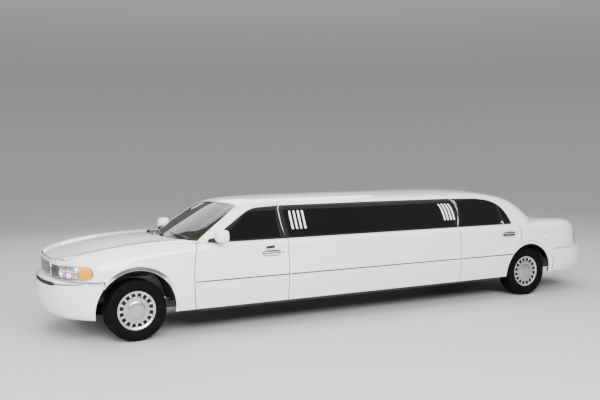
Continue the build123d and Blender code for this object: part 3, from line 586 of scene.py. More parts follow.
# ---------------------------------------------------------------- the skin's tables, in millimetres as the model has them
ARCH_F, ARCH_R = (3.155, 0.345, 0.428), (-2.387, 0.333, 0.390)
STATIONS = np.array([
    (3912, 846, 862, 872), (3860, 852, 872, 884), (3760, 864, 892, 912), (3600, 884, 914, 942),
    (3400, 912, 944, 980), (3200, 940, 970, 1014), (2900, 972, 996, 1038), (2560, 998, 1014, 1048),
    (2460, 1003, 1016, 1046), (2000, 1003, 1008, 1012), (-2300, 1003, 1008, 1012), (-2700, 1001, 1012, 1026),
    (-2900, 992, 1008, 1026), (-3150, 970, 993, 1015), (-3330, 943, 973, 997), (-3460, 917, 951, 977),
    (-3560, 894, 929, 955), (-3640, 870, 905, 931), (-3690, 850, 880, 902)], float)[::-1] / 1000.0
ROOF_LEVELS = np.array([
    (1003, 2600, 2545, 420, 2365, 800, 2190, 905, -2330, -2640, 770, -2830, 420, -2890),
    (1137, 2370, 2322, 400, 2178, 765, 2020, 840, -2240, -2520, 715, -2690, 400, -2745),
    (1260, 2140, 2100, 380, 2005, 715, 1860, 778, -2130, -2378, 662, -2535, 380, -2580),
    (1355, 1965, 1930, 360, 1870, 665, 1730, 730, -1965, -2185, 610, -2330, 360, -2372),
    (1400, 1868, 1840, 330, 1780, 600, 1620, 688, -1790, -1990, 560, -2150, 330, -2195),
    (1436, 1745, 1710, 300, 1600, 500, 1400, 575, -1560, -1760, 460, -1930, 280, -1990),
    (1460, 1500, 1450, 220, 1350, 310, 1200, 350, -1300, -1480, 290, -1650, 180, -1720),
    (1473, 1100, 1050, 80, 1000, 110, 900, 120, -950, -1080, 100, -1200, 60, -1250)], float) / 1000.0


def smooth_table(x, xs, ys, width=0.05):
    """Values of a table over x, softened over width."""
    fine = np.arange(xs[0] - 0.3, xs[-1] + 0.3, 0.01)
    f = np.interp(fine, xs, ys)
    f[fine < xs[0]] = ys[0] + (fine[fine < xs[0]] - xs[0]) * (ys[1] - ys[0]) / (xs[1] - xs[0])
    f[fine > xs[-1]] = ys[-1] + (fine[fine > xs[-1]] - xs[-1]) * (ys[-1] - ys[-2]) / (xs[-1] - xs[-2])
    k = np.exp(-0.5 * (np.arange(-30, 31) * 0.01 / width) ** 2); k /= k.sum()
    pad = np.pad(f, 30, mode="reflect", reflect_type="odd")
    return np.interp(x, fine, np.convolve(pad, k, "valid"))


def plan_curve():
    """(x, k) of the plan taper from tail to nose, evenly spaced along the side."""
    th = np.linspace(math.pi / 2, 0, 500)
    rear = np.stack([-2.85 - 0.862 * np.sin(th) ** (2 / 2.5), np.cos(th) ** (2 / 2.5)], 1)
    th = np.linspace(0, math.pi / 2, 500)
    front = np.stack([3.2 + 0.722 * np.sin(th) ** (2 / 3.0), np.cos(th) ** (2 / 3.0)], 1)
    c = np.vstack([rear, front])
    s = np.concatenate([[0], np.cumsum(np.hypot(np.diff(c[:, 0]), 0.95 * np.diff(c[:, 1])))])
    t = np.linspace(0, s[-1], 720)
    return t, np.interp(t, s, c[:, 0]), np.interp(t, s, c[:, 1])


BT, BX, BK = plan_curve()
ZB, ZE, ZC = (smooth_table(BX, STATIONS[:, 0], STATIONS[:, i], 0.07) for i in (1, 2, 3))
half = []
for y, z in ((0.950, 0.292), (0.972, 0.400), (0.993, 0.610), (0.976, 0.820)):
    half.append(np.stack([BX, y * BK, np.full_like(BX, z)], 1))
half.append(np.stack([BX, 0.932 * BK, ZB], 1))
half.append(np.stack([BX, 0.893 * BK, ZE], 1))
half.append(np.stack([BX, 0.52 * 0.893 * BK, ZE + 0.72 * (ZC - ZE)], 1))
half.append(np.stack([BX, 0.0 * BK, ZC], 1))
SEC = hermite(np.array(half), [8, 12, 12, 14, 8, 26, 26], t1=np.array([0, -1.0, 0]))
NOM = np.cumsum([0] + [0.11] * 1 + [0.211] + [0.211] + [0.188] + [0.042] + [0.43] + [0.465])
BB = np.concatenate([np.linspace(NOM[i], NOM[i + 1], n, endpoint=False) for i, n in enumerate([8, 12, 12, 14, 8, 26, 26])] + [[NOM[-1]]])
BODY = Surf(BT, BB, np.transpose(SEC, (1, 0, 2)).copy(), flip=False)
if BODY.N[360, 20][1] < 0:
    BODY.N *= -1
B_SHOULDER, B_EDGE, B_MID = NOM[4], NOM[5], NOM[7]
BSIDE, BTOPR = (0.0, B_EDGE + 0.02), (NOM[4] - 0.01, NOM[7])


def ax(x):
    """a of the body at a given x, tail to nose."""
    return np.interp(x, BX, BT)


def body_side(pts):
    """Side-view outline (x, z in mm) to (a, b); points on the belt go to its inner edge."""
    out = BODY.inv([(x / 1000.0, z / 1000.0) for x, z in pts], (0, 2), brange=(0.0, B_SHOULDER))
    for i, (x, z) in enumerate(pts):
        out[i, 0] = ax(x / 1000.0)
        if z >= 1002.9:
            out[i, 1] = B_BELT
    return out


def body_plan(pts):
    """Plan outline (x, y in mm) to (a, b) on the top of the body."""
    out = np.zeros((len(pts), 2))
    for i, (x, y) in enumerate(pts):
        a = float(ax(x / 1000.0))
        k = min(int(np.searchsorted(BT, a)), len(BT) - 1)
        ys = BODY.P[k, :, 1][::-1]
        j = np.where(BODY.B >= NOM[3])[0][0]
        ys = BODY.P[k, j:, 1][::-1]
        out[i] = (a, np.interp(y / 1000.0, ys, BODY.B[j:][::-1]))
    return out


B_BELT = B_SHOULDER + 0.030

LN = [14, 14, 12, 100, 14, 14, 14]
plans = []
for row in ROOF_LEVELS:
    z, xf0, xf1, yf1, xfc, yfc, xs1, ys, xs2, xrc, yrc, xr1, yr1, xr0 = row
    p = np.array([(xf0, 0), (xf1, yf1), (xfc, yfc), (xs1, ys), (xs2, ys), (xrc, yrc), (xr1, yr1), (xr0, 0)])
    c = np.vstack([hermite(p[:4], LN[:3], t0=(0, 1), t1=(-1, 0))[:-1],
                   np.linspace(p[3], p[4], LN[3], endpoint=False),
                   hermite(p[4:], LN[4:], t0=(-1, 0), t1=(0, -1))])
    plans.append(np.column_stack([c, np.full(len(c), z)]))
last = plans[-1].copy(); last[:, 1] = 0.0
plans.append(last)
RLN = [14, 12, 10, 8, 8, 8, 8, 4]
RS = hermite(np.array(plans), RLN)
RS[..., 2] = np.minimum(RS[..., 2], 1.4728)
RNOM_U = np.cumsum([0, 0.42, 0.42, 0.24, 4.2, 0.42, 0.38, 0.42])
RA = np.concatenate([np.linspace(RNOM_U[i], RNOM_U[i + 1], n, endpoint=False) for i, n in enumerate(LN)] + [[RNOM_U[-1]]])
RNOM_V = np.cumsum([0, 0.15, 0.138, 0.107, 0.06, 0.12, 0.22, 0.23, 0.12])
RB = np.concatenate([np.linspace(RNOM_V[i], RNOM_V[i + 1], n, endpoint=False) for i, n in enumerate(RLN)] + [[RNOM_V[-1]]])
ROOF = Surf(RA, RB, np.transpose(RS, (1, 0, 2)).copy())
if ROOF.N[80, 10][1] < 0:
    ROOF.N *= -1
over = ROOF.B > RNOM_V[6]
N_top = ROOF.N[:, over]
N_top[N_top[..., 2] < 0.2] = (0.0, 0.0, 1.0)      # where the grid runs together on the centre line
ROOF.N[:, over] = N_top


def roof_side(pts):
    """Side-view outline (x, z in mm) to (a, b) on the greenhouse's side."""
    return ROOF.inv([(x / 1000.0, z / 1000.0) for x, z in pts], (0, 2), arange=(RNOM_U[1], RNOM_U[6]), brange=(0.0, RNOM_V[5]))


def roof_front(pts):
    """Front-view outline (y, z in mm, y of 0 or more) to (a, b) on the windshield."""
    return ROOF.inv([(y / 1000.0, z / 1000.0) for y, z in pts], (1, 2), arange=(0.0, RNOM_U[3]), brange=(0.0, RNOM_V[6]))


def roof_rear(pts):
    return ROOF.inv([(y / 1000.0, z / 1000.0) for y, z in pts], (1, 2), arange=(RNOM_U[4], RNOM_U[7]), brange=(0.0, RNOM_V[6]))


# ---------------------------------------------------------------- outlines, side view x z in mm
SEAM_B, SEAM_C = 1360, -1180
FRONT_EDGE = [(2490, 292), (2505, 390), (2514, 480), (2520, 610), (2517, 730), (2504, 850), (2487, 935), (2462, 1003)]
REAR_ARC = [(-2387 + 390 * math.cos(a), 333 + 390 * math.sin(a)) for a in np.radians(np.linspace(-6.0, 46.4, 14))]
REAR_EDGE = REAR_ARC + [(-2190, 740), (-2225, 785), (-2246, 830), (-2247, 880), (-2232, 930), (-2185, 1003)]
DOOR_F_LOW = [(SEAM_B + 4, 292)] + FRONT_EDGE + [(SEAM_B + 4, 1003)]
DOOR_R_LOW = [(SEAM_C - 4, 1003), (SEAM_C - 4, 292)] + REAR_EDGE
DOOR_F_TOP = [(SEAM_B + 4, 1003), (2340, 1003), (2132, 1137), (1938, 1260), (1800, 1343), (1690, 1384), (1560, 1392), (SEAM_B + 4, 1394)]
DOOR_R_TOP = [(SEAM_C - 4, 1394), (SEAM_C - 4, 1003), (-2180, 1003), (-2155, 1100), (-2118, 1195), (-2070, 1256), (-2010, 1302), (-1925, 1345),
              (-1830, 1372), (-1720, 1387), (-1600, 1394)]
BLACK_F = [(SEAM_B + 4, 1003), (2322, 1003), (2112, 1137), (1918, 1260), (1840, 1308), (1760, 1348), (1700, 1364), (1640, 1371),
           (1500, 1377), (SEAM_B + 4, 1382)]
BLACK_R = [(SEAM_C - 4, 1377), (SEAM_C - 4, 1003), (-2132, 1003), (-2108, 1100), (-2066, 1190), (-2018, 1245), (-1962, 1286), (-1880, 1322), (-1780, 1346),
           (-1640, 1364), (-1500, 1370), (-1350, 1375)]
BLACK_M = [(SEAM_B - 4, 1383), (SEAM_B - 4, 1003), (SEAM_C + 4, 1003), (SEAM_C + 4, 1378), (0, 1384)]
WINDOW_F = [(SEAM_B + 40, 1015), (2262, 1015), (2085, 1137), (1895, 1258), (1765, 1332), (1660, 1360), (SEAM_B + 40, 1366)]
WINDOW_R = [(SEAM_C - 40, 1362), (SEAM_C - 40, 1015), (-2112, 1015), (-2092, 1100), (-2050, 1186), (-1956, 1270), (-1795, 1330), (-1590, 1358)]
WINDOW_M = [(SEAM_B - 40, 1368), (SEAM_B - 40, 1015), (SEAM_C + 40, 1015), (SEAM_C + 40, 1364)]
HOOD_PLAN = [(3895, 0), (3886, 250), (3862, 470), (3800, 640), (3700, 712), (3500, 748), (3000, 785), (2510, 812),
             (2560, 640), (2640, 380), (2690, 0)]
HOOD_OPEN = [(3960, 0), (3960, 470), (3866, 478), (3806, 648), (3704, 720), (3500, 756), (3000, 793), (2480, 820), (2300, 820), (2300, 0)]
LID_PLAN = [(-2935, 0), (-2915, 420), (-2862, 690), (-3350, 690), (-3450, 650), (-3530, 580), (-3590, 500), (-3625, 430), (-3640, 390)]
LAMP = [(3604, 742), (3640, 700), (3700, 688), (3800, 685), (3800, 834), (3760, 838), (3660, 836), (3610, 800)]

# ---------------------------------------------------------------- doors and side panels


def ring_loop(c, r, a0=0.0, a1=2 * math.pi, n=64):
    return [(1000 * (c[0] + r * math.cos(t)), 1000 * (c[1] + r * math.sin(t))) for t in np.linspace(a0, a1, n, endpoint=False)]


DOORS = {
    "front_door": (DOOR_F_LOW, DOOR_F_TOP, BLACK_F, WINDOW_F, "door_front_"),
    "rear_door": (DOOR_R_LOW, DOOR_R_TOP, BLACK_R, WINDOW_R, "door_rear_"),
}
for stem, (low, top, black, window, body) in DOORS.items():
    low_ab, top_ab, black_ab, win_ab = body_side(low), roof_side(top), roof_side(black), roof_side(window)
    for side, s in SIDES:
        b = body + side
        # the skins' and frames' turned-in edges and backs are dark plastic: painted shade in the shut lines
        panel(stem + "_skin_" + side, BODY, [low_ab], [], WHITE, b, step=0.05, r=0.004, to_y=0.874, inner=True, side=s,
              replaces=(stem + "_" + side,), inner_gap_shade_mat=PLASTIC)
        panel(stem + "_frame_" + side, ROOF, [top_ab], [black_ab], WHITE, b, step=0.04, r=0.0025,
              depth=0.034 if stem == "front_door" else 0.012, inner=True, side=s, inner_gap_shade_mat=PLASTIC)
        panel(stem + "_surround_" + side, ROOF, [black_ab], [grown(dense(win_ab, 0.02), -0.010)], BLACK_TRIM, b, step=0.03, r=0.0015,
              depth=0.034 if stem == "front_door" else 0.013, lift=0.001, inner=True, side=s)
        panel(stem + "_pane_" + side, ROOF, [grown(dense(win_ab, 0.02), 0.004)], [], TINT, b, step=0.05, r=0.0, depth=0.004, lift=-0.004,
              inner=True, side=s, replaces=(stem + "_glass_" + side,))

MID = [(SEAM_C + 4, 292), (SEAM_B - 4, 292), (SEAM_B - 4, 1003), (SEAM_C + 4, 1003)]
# turned-in edges and back in dark plastic: painted shade in the shut lines
panel("side_panel_skins", BODY, [body_side(MID)], [], WHITE, step=0.05, r=0.004, to_y=0.874, inner=True, both=True,
      replaces=("side_panels",), inner_gap_shade_mat=PLASTIC)
mid_win = roof_side(WINDOW_M)
panel("side_window_surround", ROOF, [roof_side(BLACK_M)], [grown(dense(mid_win, 0.03), -0.010)], BLACK_TRIM, step=0.03, r=0.0015, depth=0.028,
      lift=0.001, both=True)
panel("side_window_panes", ROOF, [grown(dense(mid_win, 0.03), 0.004)], [], TINT, step=0.05, r=0.0, depth=0.004, lift=-0.004, inner=True, both=True,
      replaces=("side_glass",))

# ---------------------------------------------------------------- roof, windshield, rear window
SHIELD = [(0, 1018), (738, 1018), (700, 1137), (655, 1260), (606, 1352), (580, 1378), (540, 1392), (420, 1402), (300, 1407), (0, 1408)]
BACKL = [(0, 1030), (690, 1030), (642, 1137), (592, 1260), (548, 1338), (480, 1374), (400, 1378), (0, 1380)]
shield_ab, backl_ab = roof_front(SHIELD), roof_rear(BACKL)
shield_ab[0, 0] = shield_ab[-1, 0] = 0.0
backl_ab[0, 0] = backl_ab[-1, 0] = RNOM_U[7]
roof_all = np.array([(0, 0), (RNOM_U[7], 0), (RNOM_U[7], RNOM_V[8]), (0, RNOM_V[8])])
door_holes = [grown(dense(roof_side(t), 0.02), 0.005) for _, t, *_ in DOORS.values()]
# turned-in edges in black rubber: seals along the glass, and painted shade in the gaps at the doors
panel("roof_skin", ROOF, [roof_all], door_holes + [dense(roof_side(BLACK_M), 0.03), grown(dense(shield_ab, 0.03), 0.0), dense(backl_ab, 0.03)],
      WHITE, step=0.05, edge=0.022, r=0.0025, depth=0.020, weld=True, replaces=("roof",), inner_gap_shade_mat=RUBBER)
panel("headliner", ROOF, [roof_all], [grown(h, 0.012) for h in door_holes] + [grown(dense(mid_win, 0.03), 0.004), grown(dense(shield_ab, 0.03), 0.012),
      grown(dense(backl_ab, 0.03), 0.012)], HEADLINER, step=0.08, edge=0.035, r=0.0, depth=0.004, lift=-0.036, weld=True, inner=True)
panel("windshield_glass", ROOF, [grown(dense(shield_ab, 0.03), 0.0)], [], GLASS, step=0.06, r=0.0, depth=0.005, lift=-0.006, weld=True, inner=True,
      replaces=("windshield",))
panel("rear_window_glass", ROOF, [dense(backl_ab, 0.03)], [], TINT, step=0.06, r=0.0, depth=0.005, lift=-0.006, weld=True, inner=True,
      replaces=("rear_window",))

# ---------------------------------------------------------------- hood, fenders, quarters, trunk lid
hood_line = hermite(np.array(HOOD_PLAN[:8], float), [4, 5, 6, 6, 6, 6, 6], t0=(0, 1))
hood_rear = hermite(np.array(HOOD_PLAN[7:], float), [3, 4, 5], t1=(0, -1))
hood_ab = body_plan(np.vstack([hood_line, hood_rear[1:]]))
hood_ab[0, 1] = hood_ab[-1, 1] = B_MID
hood_n = np.gradient(hood_line, axis=0)
hood_n = np.column_stack([hood_n[:, 1], -hood_n[:, 0]]) / np.linalg.norm(hood_n, axis=1)[:, None]
fender_line = hood_line + hood_n * 8.0
fender_line = fender_line[fender_line[:, 1] > 478][::-1]
# turned-in edge and underside in a darker white: painted shade
panel("hood_skin", BODY, [hood_ab], [], WHITE, "hood_lid", step=0.05, edge=0.022, r=0.005, depth=0.022, weld=True, inner=True,
      replaces=("hood",), inner_gap_shade_mat=WHITE_PAINTED_SHADE)

k_lamp = 0.322 / 0.976
a_lamp = float(np.interp(-k_lamp, -BK[BX > 3.3], BT[BX > 3.3]))


def nose(x_or_a, z):
    """(a, b) on the nose from a and z."""
    a = x_or_a
    k = int(np.clip(np.searchsorted(BT, a), 1, len(BT) - 1))
    col = BODY.P[k, :, 2]
    return (a, float(np.interp(z / 1000.0, col, BODY.B)))


lamp_ab = [tuple(p) for p in BODY.inv([(x / 1000, z / 1000) for x, z in LAMP[:3]], (0, 2), brange=(0, B_SHOULDER))]
lamp_ab += [nose(ax(3.80), 685), nose(a_lamp, 684), nose(a_lamp, 822), nose(ax(3.84), 832)]
lamp_ab += [tuple(p) for p in BODY.inv([(x / 1000, z / 1000) for x, z in LAMP[5:]], (0, 2), brange=(0, B_SHOULDER))]
lamp_ab = rounded(np.array(lamp_ab), 0.03)

fender_side = [(2498, 292), (2513, 390), (2522, 480), (2528, 610), (2525, 730), (2512, 850), (2495, 935), (2470, 1003)]
fe = [tuple(p) for p in body_side(fender_side)]
fe += [tuple(p) for p in body_plan([(2474, 822)])] + [tuple(p) for p in body_plan(fender_line[2:])]
fe += [nose(a_lamp, 852), nose(a_lamp, 676), nose(ax(3.60), 676), nose(ax(3.494), 676), nose(ax(3.494), 480), nose(ax(3.30), 400), nose(ax(2.80), 292)]
arch_f = BODY.inv([(x / 1000, z / 1000) for x, z in ring_loop(ARCH_F, ARCH_F[2], math.radians(-25), math.radians(205), 70)], (0, 2), brange=(0, B_SHOULDER))
arch_f = [tuple(p) for p in arch_f] + [(ax(2.72), -0.2), (ax(3.60), -0.2)]
# turned-in edges in black rubber: painted shade in the shut lines, arch lips and lamp opening
panel("fender_skins", BODY, [np.array(fe)], [np.array(arch_f), lamp_ab], WHITE, step=0.045, edge=0.02, r=0.004, depth=0.022, both=True,
      replaces=("front_fenders",), inner_gap_shade_mat=RUBBER)

lid_ab = body_plan(LID_PLAN)
a_lid = float(np.interp(0.390 / 0.893, BK[BX < -3.0], BT[BX < -3.0]))
a_tip = BT[0]


def tail(a, z):
    k = int(np.clip(np.searchsorted(BT, a), 1, len(BT) - 1))
    return (a, float(np.interp(z / 1000.0, BODY.P[k, :, 2], BODY.B)))


LID_Z0 = 640
lid = [tuple(p) for p in lid_ab]
lid[0] = (lid[0][0], B_MID)
lid += [tail(lid[-1][0], LID_Z0), (a_tip, tail(a_tip + 0.002, LID_Z0)[1]), (a_tip, B_MID)]
# turned-in edge and underside in a darker white: painted shade
panel("trunk_lid_skin", BODY, [np.array(lid)], [], WHITE, "trunk", step=0.045, edge=0.02, r=0.005, depth=0.022, weld=True, inner=True,
      replaces=("trunk_lid",), inner_gap_shade_mat=WHITE_PAINTED_SHADE)

quarter = [(-2196, 1003), (-2243, 930), (-2258, 880), (-2257, 830), (-2236, 785), (-2201, 746)]
qe = [tuple(p) for p in body_side(quarter)]
qe += [tuple(p) for p in body_side([(-2160, 700), (-2160, 300), (-2842, 300), (-2842, 636), (-3400, 636)])]
qe += [tail(ax(-3.60), 636), tail(lid[8][0] + 0.012, 636)]
open_plan = [(-3641, 399), (-3634, 436), (-3598, 507), (-3538, 588), (-3457, 658), (-3353, 699), (-2852, 699), (-2906, 420), (-2926, 0)]
qe += [tuple(p) for p in body_plan(open_plan)]
qe[-1] = (qe[-1][0], B_MID)
qe += [(float(ax(-2.84)), B_MID)] + [tuple(p) for p in body_plan([(-2790, 420), (-2610, 720), (-2330, 865), (-2196, 872)])]
arch_r = BODY.inv([(x / 1000, z / 1000) for x, z in ring_loop(ARCH_R, ARCH_R[2], math.radians(-6), math.radians(186), 60)], (0, 2), brange=(0, B_SHOULDER))
arch_r = [tuple(p) for p in arch_r] + [(ax(-2.79), -0.2), (ax(-1.98), -0.2)]
TAIL = [(-3412, 676), (-3412, 800), (-3440, 838), (-3500, 846)]
tl = [tail(ax(-3.325), 704), tail(ax(-3.340), 674), tail(ax(-3.40), 664), tail(lid[8][0] + 0.004, 664), tail(lid[8][0] + 0.004, 846),
      tail(ax(-3.44), 850), tail(ax(-3.365), 838), tail(ax(-3.325), 796)]
tl = rounded(np.array(tl), 0.03)
# turned-in edges in black rubber: painted shade in the shut lines, arch lips and lamp opening
panel("quarter_skins", BODY, [np.array(qe)], [np.array(arch_r), tl], WHITE, step=0.045, edge=0.02, r=0.004, depth=0.022, weld=True,
      replaces=("quarter_panels",), inner_gap_shade_mat=RUBBER)

# ---------------------------------------------------------------- bumpers


def bumper_surface(rows, sign, cut_angle):
    """rows: z, tip, start, half width, power; gives a surface over arc and height."""
    R = np.array(rows, float)
    lens = np.concatenate([[0], np.cumsum(np.hypot(np.diff(R[:, 0]), np.abs(np.diff(R[:, 1]))))])
    T = hermite(np.column_stack([R[:, 0], R[:, 1]]), 8)
    q = np.linspace(0, len(R) - 1, len(T))
    start, hw, pw = (np.interp(q, np.arange(len(R)), R[:, i]) for i in (2, 3, 4))
    th = np.linspace(0, cut_angle, 900)
    A = np.linspace(0, 1.35, 90)
    P = np.zeros((len(A), len(T), 3))
    for j in range(len(T)):
        z, tip = T[j]
        a = abs(tip - start[j])
        x = start[j] + sign * a * np.cos(th) ** (2 / pw[j]); y = hw[j] * np.sin(th) ** (2 / pw[j])
        x = np.append(x, start[j] - sign * 0.06); y = np.append(y, y[-1])
        s = np.concatenate([[0], np.cumsum(np.hypot(np.diff(x), np.diff(y)))])
        t = A / A[-1] * s[-1]
        P[:, j, 0] = np.interp(t, s, x); P[:, j, 1] = np.interp(t, s, y); P[:, j, 2] = z
    Bv = np.interp(q, np.arange(len(R)), lens)
    S = Surf(A, Bv, P)
    if S.N[5, len(T) // 2][0] * sign < 0:
        S.N *= -1
    return S


FB_ROWS = [(300, 3790, 3200, 860, 2.35), (266, 3850, 3200, 905, 2.35), (258, 3915, 3200, 948, 2.35), (300, 3955, 3200, 968, 2.35),
           (380, 3983, 3200, 982, 2.35), (480, 3997.5, 3200, 990, 2.35), (590, 3994.5, 3200, 990, 2.35), (648, 3982, 3200, 987, 2.38),
           (668, 3964, 3200, 980, 2.4), (674, 3930, 3200, 965, 2.42), (672, 3850, 3200, 925, 2.5)]
FB = bumper_surface([(z / 1000, t / 1000, s / 1000, w / 1000, p) for z, t, s, w, p in FB_ROWS], 1, math.pi / 2)
RB_ROWS = [(330, -3700, -2850, 850, 2.4), (296, -3745, -2850, 905, 2.4), (290, -3775, -2850, 940, 2.4), (340, -3815, -2850, 966, 2.42),
           (420, -3849, -2850, 982, 2.47), (500, -3862, -2850, 988, 2.5), (580, -3857, -2850, 988, 2.5), (618, -3843, -2850, 983, 2.5),
           (629, -3820, -2850, 972, 2.5), (630, -3700, -2850, 930, 2.6)]
RBS = bumper_surface([(z / 1000, t / 1000, s / 1000, w / 1000, p) for z, t, s, w, p in RB_ROWS], -1, math.pi / 2)


def cut_line(S, fx):
    """a along each b where x passes the value fx(z)."""
    out = []
    for j in range(0, len(S.B), 2):
        x, z = S.P[:, j, 0], S.P[:, j, 2]
        d = x - fx(z[0])
        k = np.where(d[:-1] * d[1:] <= 0)[0]
        a = S.A[k[0]] + (S.A[k[0] + 1] - S.A[k[0]]) * d[k[0]] / (d[k[0]] - d[k[0] + 1]) if len(k) else S.A[-1]
        out.append((float(a), float(S.B[j])))
    return out


def front_cut(z):
    dz = z - ARCH_F[1]
    return ARCH_F[0] + math.sqrt(max(ARCH_F[2] ** 2 - dz * dz, 0.0)) if abs(dz) < ARCH_F[2] else ARCH_F[0] + ARCH_F[2]


def front_cut2(z):
    return max(front_cut(z), 3.50)


fb_loop = [(0.0, FB.B[0])] + cut_line(FB, front_cut2) + [(0.0, FB.B[-1])]
# turned-in edges in black rubber: painted shade in the gaps
panel("front_bumper_skin", FB, [np.array(fb_loop)], [], WHITE, step=0.045, edge=0.022, r=0.003, depth=0.02, weld=True,
      replaces=("front_bumper",), inner_gap_shade_mat=RUBBER)
rb_loop = [(0.0, RBS.B[0])] + cut_line(RBS, lambda z: -2.848) + [(0.0, RBS.B[-1])]
rc_ = np.where(RBS.P[2, :, 2] > 0.35)[0][0]
zb_ = lambda z: float(np.interp(z / 1000.0, RBS.P[2, rc_:60, 2], RBS.B[rc_:60]))
ap_ = 0.170 / float(np.diff(RBS.P[:3, 20, 1])[0] / np.diff(RBS.A[:3])[0])
plate_hole = np.array([(-0.05, zb_(380)), (ap_, zb_(380)), (ap_, zb_(560)), (-0.05, zb_(560))])
# turned-in edges in black rubber: painted shade in the gaps
panel("rear_bumper_skin", RBS, [np.array(rb_loop)], [plate_hole], WHITE, step=0.045, edge=0.022, r=0.003, depth=0.02, weld=True,
      replaces=("rear_bumper",), inner_gap_shade_mat=RUBBER)

# ---------------------------------------------------------------- trim on the skin
def oval(cx, cz, w, h, p=3.0, n=36):
    """Rounded outline w by h about a centre."""
    t = np.linspace(0, 2 * math.pi, n, endpoint=False)
    return [(cx + w / 2 * math.copysign(abs(math.cos(a)) ** (2 / p), math.cos(a)),
             cz + h / 2 * math.copysign(abs(math.sin(a)) ** (2 / p), math.sin(a))) for a in t]


def rect(x0, x1, z0, z1):
    return [(x0, z0), (x1, z0), (x1, z1), (x0, z1)]


def arc_band(c, r0, r1, a0, a1, n=40, taper=0.18):
    """Part of a ring, narrowing at both ends."""
    t = np.radians(np.linspace(a0, a1, n))
    q = np.linspace(0, 1, n)
    w = np.clip(np.minimum(q, 1 - q) / taper, 0, 1)
    w = 0.45 + 0.55 * w * w * (3 - 2 * w)
    out = [(1000 * (c[0] + (r0 + (r1 - r0) * k) * math.cos(a)), 1000 * (c[1] + (r0 + (r1 - r0) * k) * math.sin(a))) for a, k in zip(t, w)]
    return out + [(1000 * (c[0] + r0 * math.cos(a)), 1000 * (c[1] + r0 * math.sin(a))) for a in t[::-1]]


panel("arch_moulding_front", BODY, [body_side(arc_band(ARCH_F, 0.429, 0.472, 36, 151, 56))], [], CHROME, step=0.03, edge=0.02, r=0.003, depth=0.014,
      lift=0.006, both=True)
panel("arch_flare_rear", BODY, [body_side(arc_band(ARCH_R, 0.391, 0.432, 47.5, 140, 50))], [], WHITE, step=0.03, edge=0.02, r=0.004, depth=0.016,
      lift=0.006, both=True)
panel("arch_bead_rear", BODY, [body_side(arc_band(ARCH_R, 0.427, 0.434, 47.5, 128, 50))], [], CHROME, step=0.03, edge=0.012, r=0.0015, depth=0.014,
      lift=0.0085, both=True)

MOULD = [("root", "side_moulding_mid", SEAM_C + 8, SEAM_B - 8), ("door_front_", "side_moulding_front_door", SEAM_B + 8, 2506),
         ("door_rear_", "side_moulding_rear_door", -2078, SEAM_C - 8)]
for body, name, x0, x1 in MOULD:
    for side, s in SIDES:
        b = body if body == "root" else body + side
        panel(name + "_" + side, BODY, [body_side(rect(x0, x1, 593, 607))], [], BLACK_TRIM, b, step=0.03, r=0.0025, depth=0.006, lift=0.005, side=s)
        panel(name + "_bright_" + side, BODY, [body_side(rect(x0 + 3, x1 - 3, 604.5, 608.5))], [], CHROME, b, step=0.03, edge=0.03, r=0.001,
              depth=0.006, lift=0.0062, side=s)

for side, s in SIDES:
    for stem, cx, cz, w in (("front", 1582, 858, 246), ("rear", -2022, 876, 236)):
        b = "door_" + stem + "_" + side
        panel("handle_plate_%s_%s" % (stem, side), BODY, [body_side(oval(cx, cz, w, 78, 3.2))], [body_side(oval(cx, cz, w - 26, 54, 3.2))], CHROME, b,
              step=0.03, edge=0.008, r=0.0025, depth=0.010, lift=0.0045, side=s)
        panel("handle_bowl_%s_%s" % (stem, side), BODY, [body_side(oval(cx, cz, w - 22, 58, 3.2))], [], BLACK_TRIM, b,
              step=0.02, edge=0.008, r=0.001, depth=0.004, lift=0.0008, side=s)
        H = Build()
        xs = np.linspace(cx - w * 0.40, cx + w * 0.40, 15)
        q = np.linspace(-1, 1, 15)
        p, n_ = BODY.at(body_side([(x, cz + 9) for x in xs]))
        path = p + n_ * (0.016 - 0.010 * q[:, None] ** 4)
        path[:, 1] *= s
        H.tube(path, 0.0085 - 0.0025 * np.abs(q) ** 3, n=12)
        H.done("handle_pull_%s_%s" % (stem, side), CHROME, b, slot="chrome", sharp=60)
        p, n_ = BODY.at(body_side([(cx - w * 0.62 if stem == "front" else cx + w * 0.62, cz + 2)]))
        L = Build()
        t = np.linspace(0, 2 * math.pi, 20, endpoint=False)
        ring = lambda r, d: [(p[0][0] + r * math.cos(a), s * (p[0][1] + d), p[0][2] + r * math.sin(a)) for a in t]
        L.grid(np.array([ring(0.0115, 0.000), ring(0.0115, 0.0035), ring(0.009, 0.0045), ring(0.0035, 0.0035), ring(0.0005, 0.0035)]), close_v=True)
        L.done("door_lock_%s_%s" % (stem, side), CHROME_SOFT, b, sharp=40)

KEYPAD = [(1540, 912), (1652, 906), (1652, 938), (1540, 944)]
for side, s in SIDES[:1]:
    panel("door_keypad", BODY, [rounded(body_side(KEYPAD), 0.006)], [], SCREEN, "door_front_" + side, step=0.02, edge=0.01, r=0.0015, depth=0.005,
          lift=0.003, side=s)
    for k in range(5):
        x = 1552 + k * 22.0
        z = 925 - (x - 1596) * 0.054
        panel("keypad_key_%d" % k, BODY, [rounded(body_side(rect(x - 8, x + 8, z - 9, z + 9)), 0.003)], [], PLASTIC, "door_front_" + side,
              step=0.01, edge=0.006, r=0.001, depth=0.003, lift=0.0042, side=s)

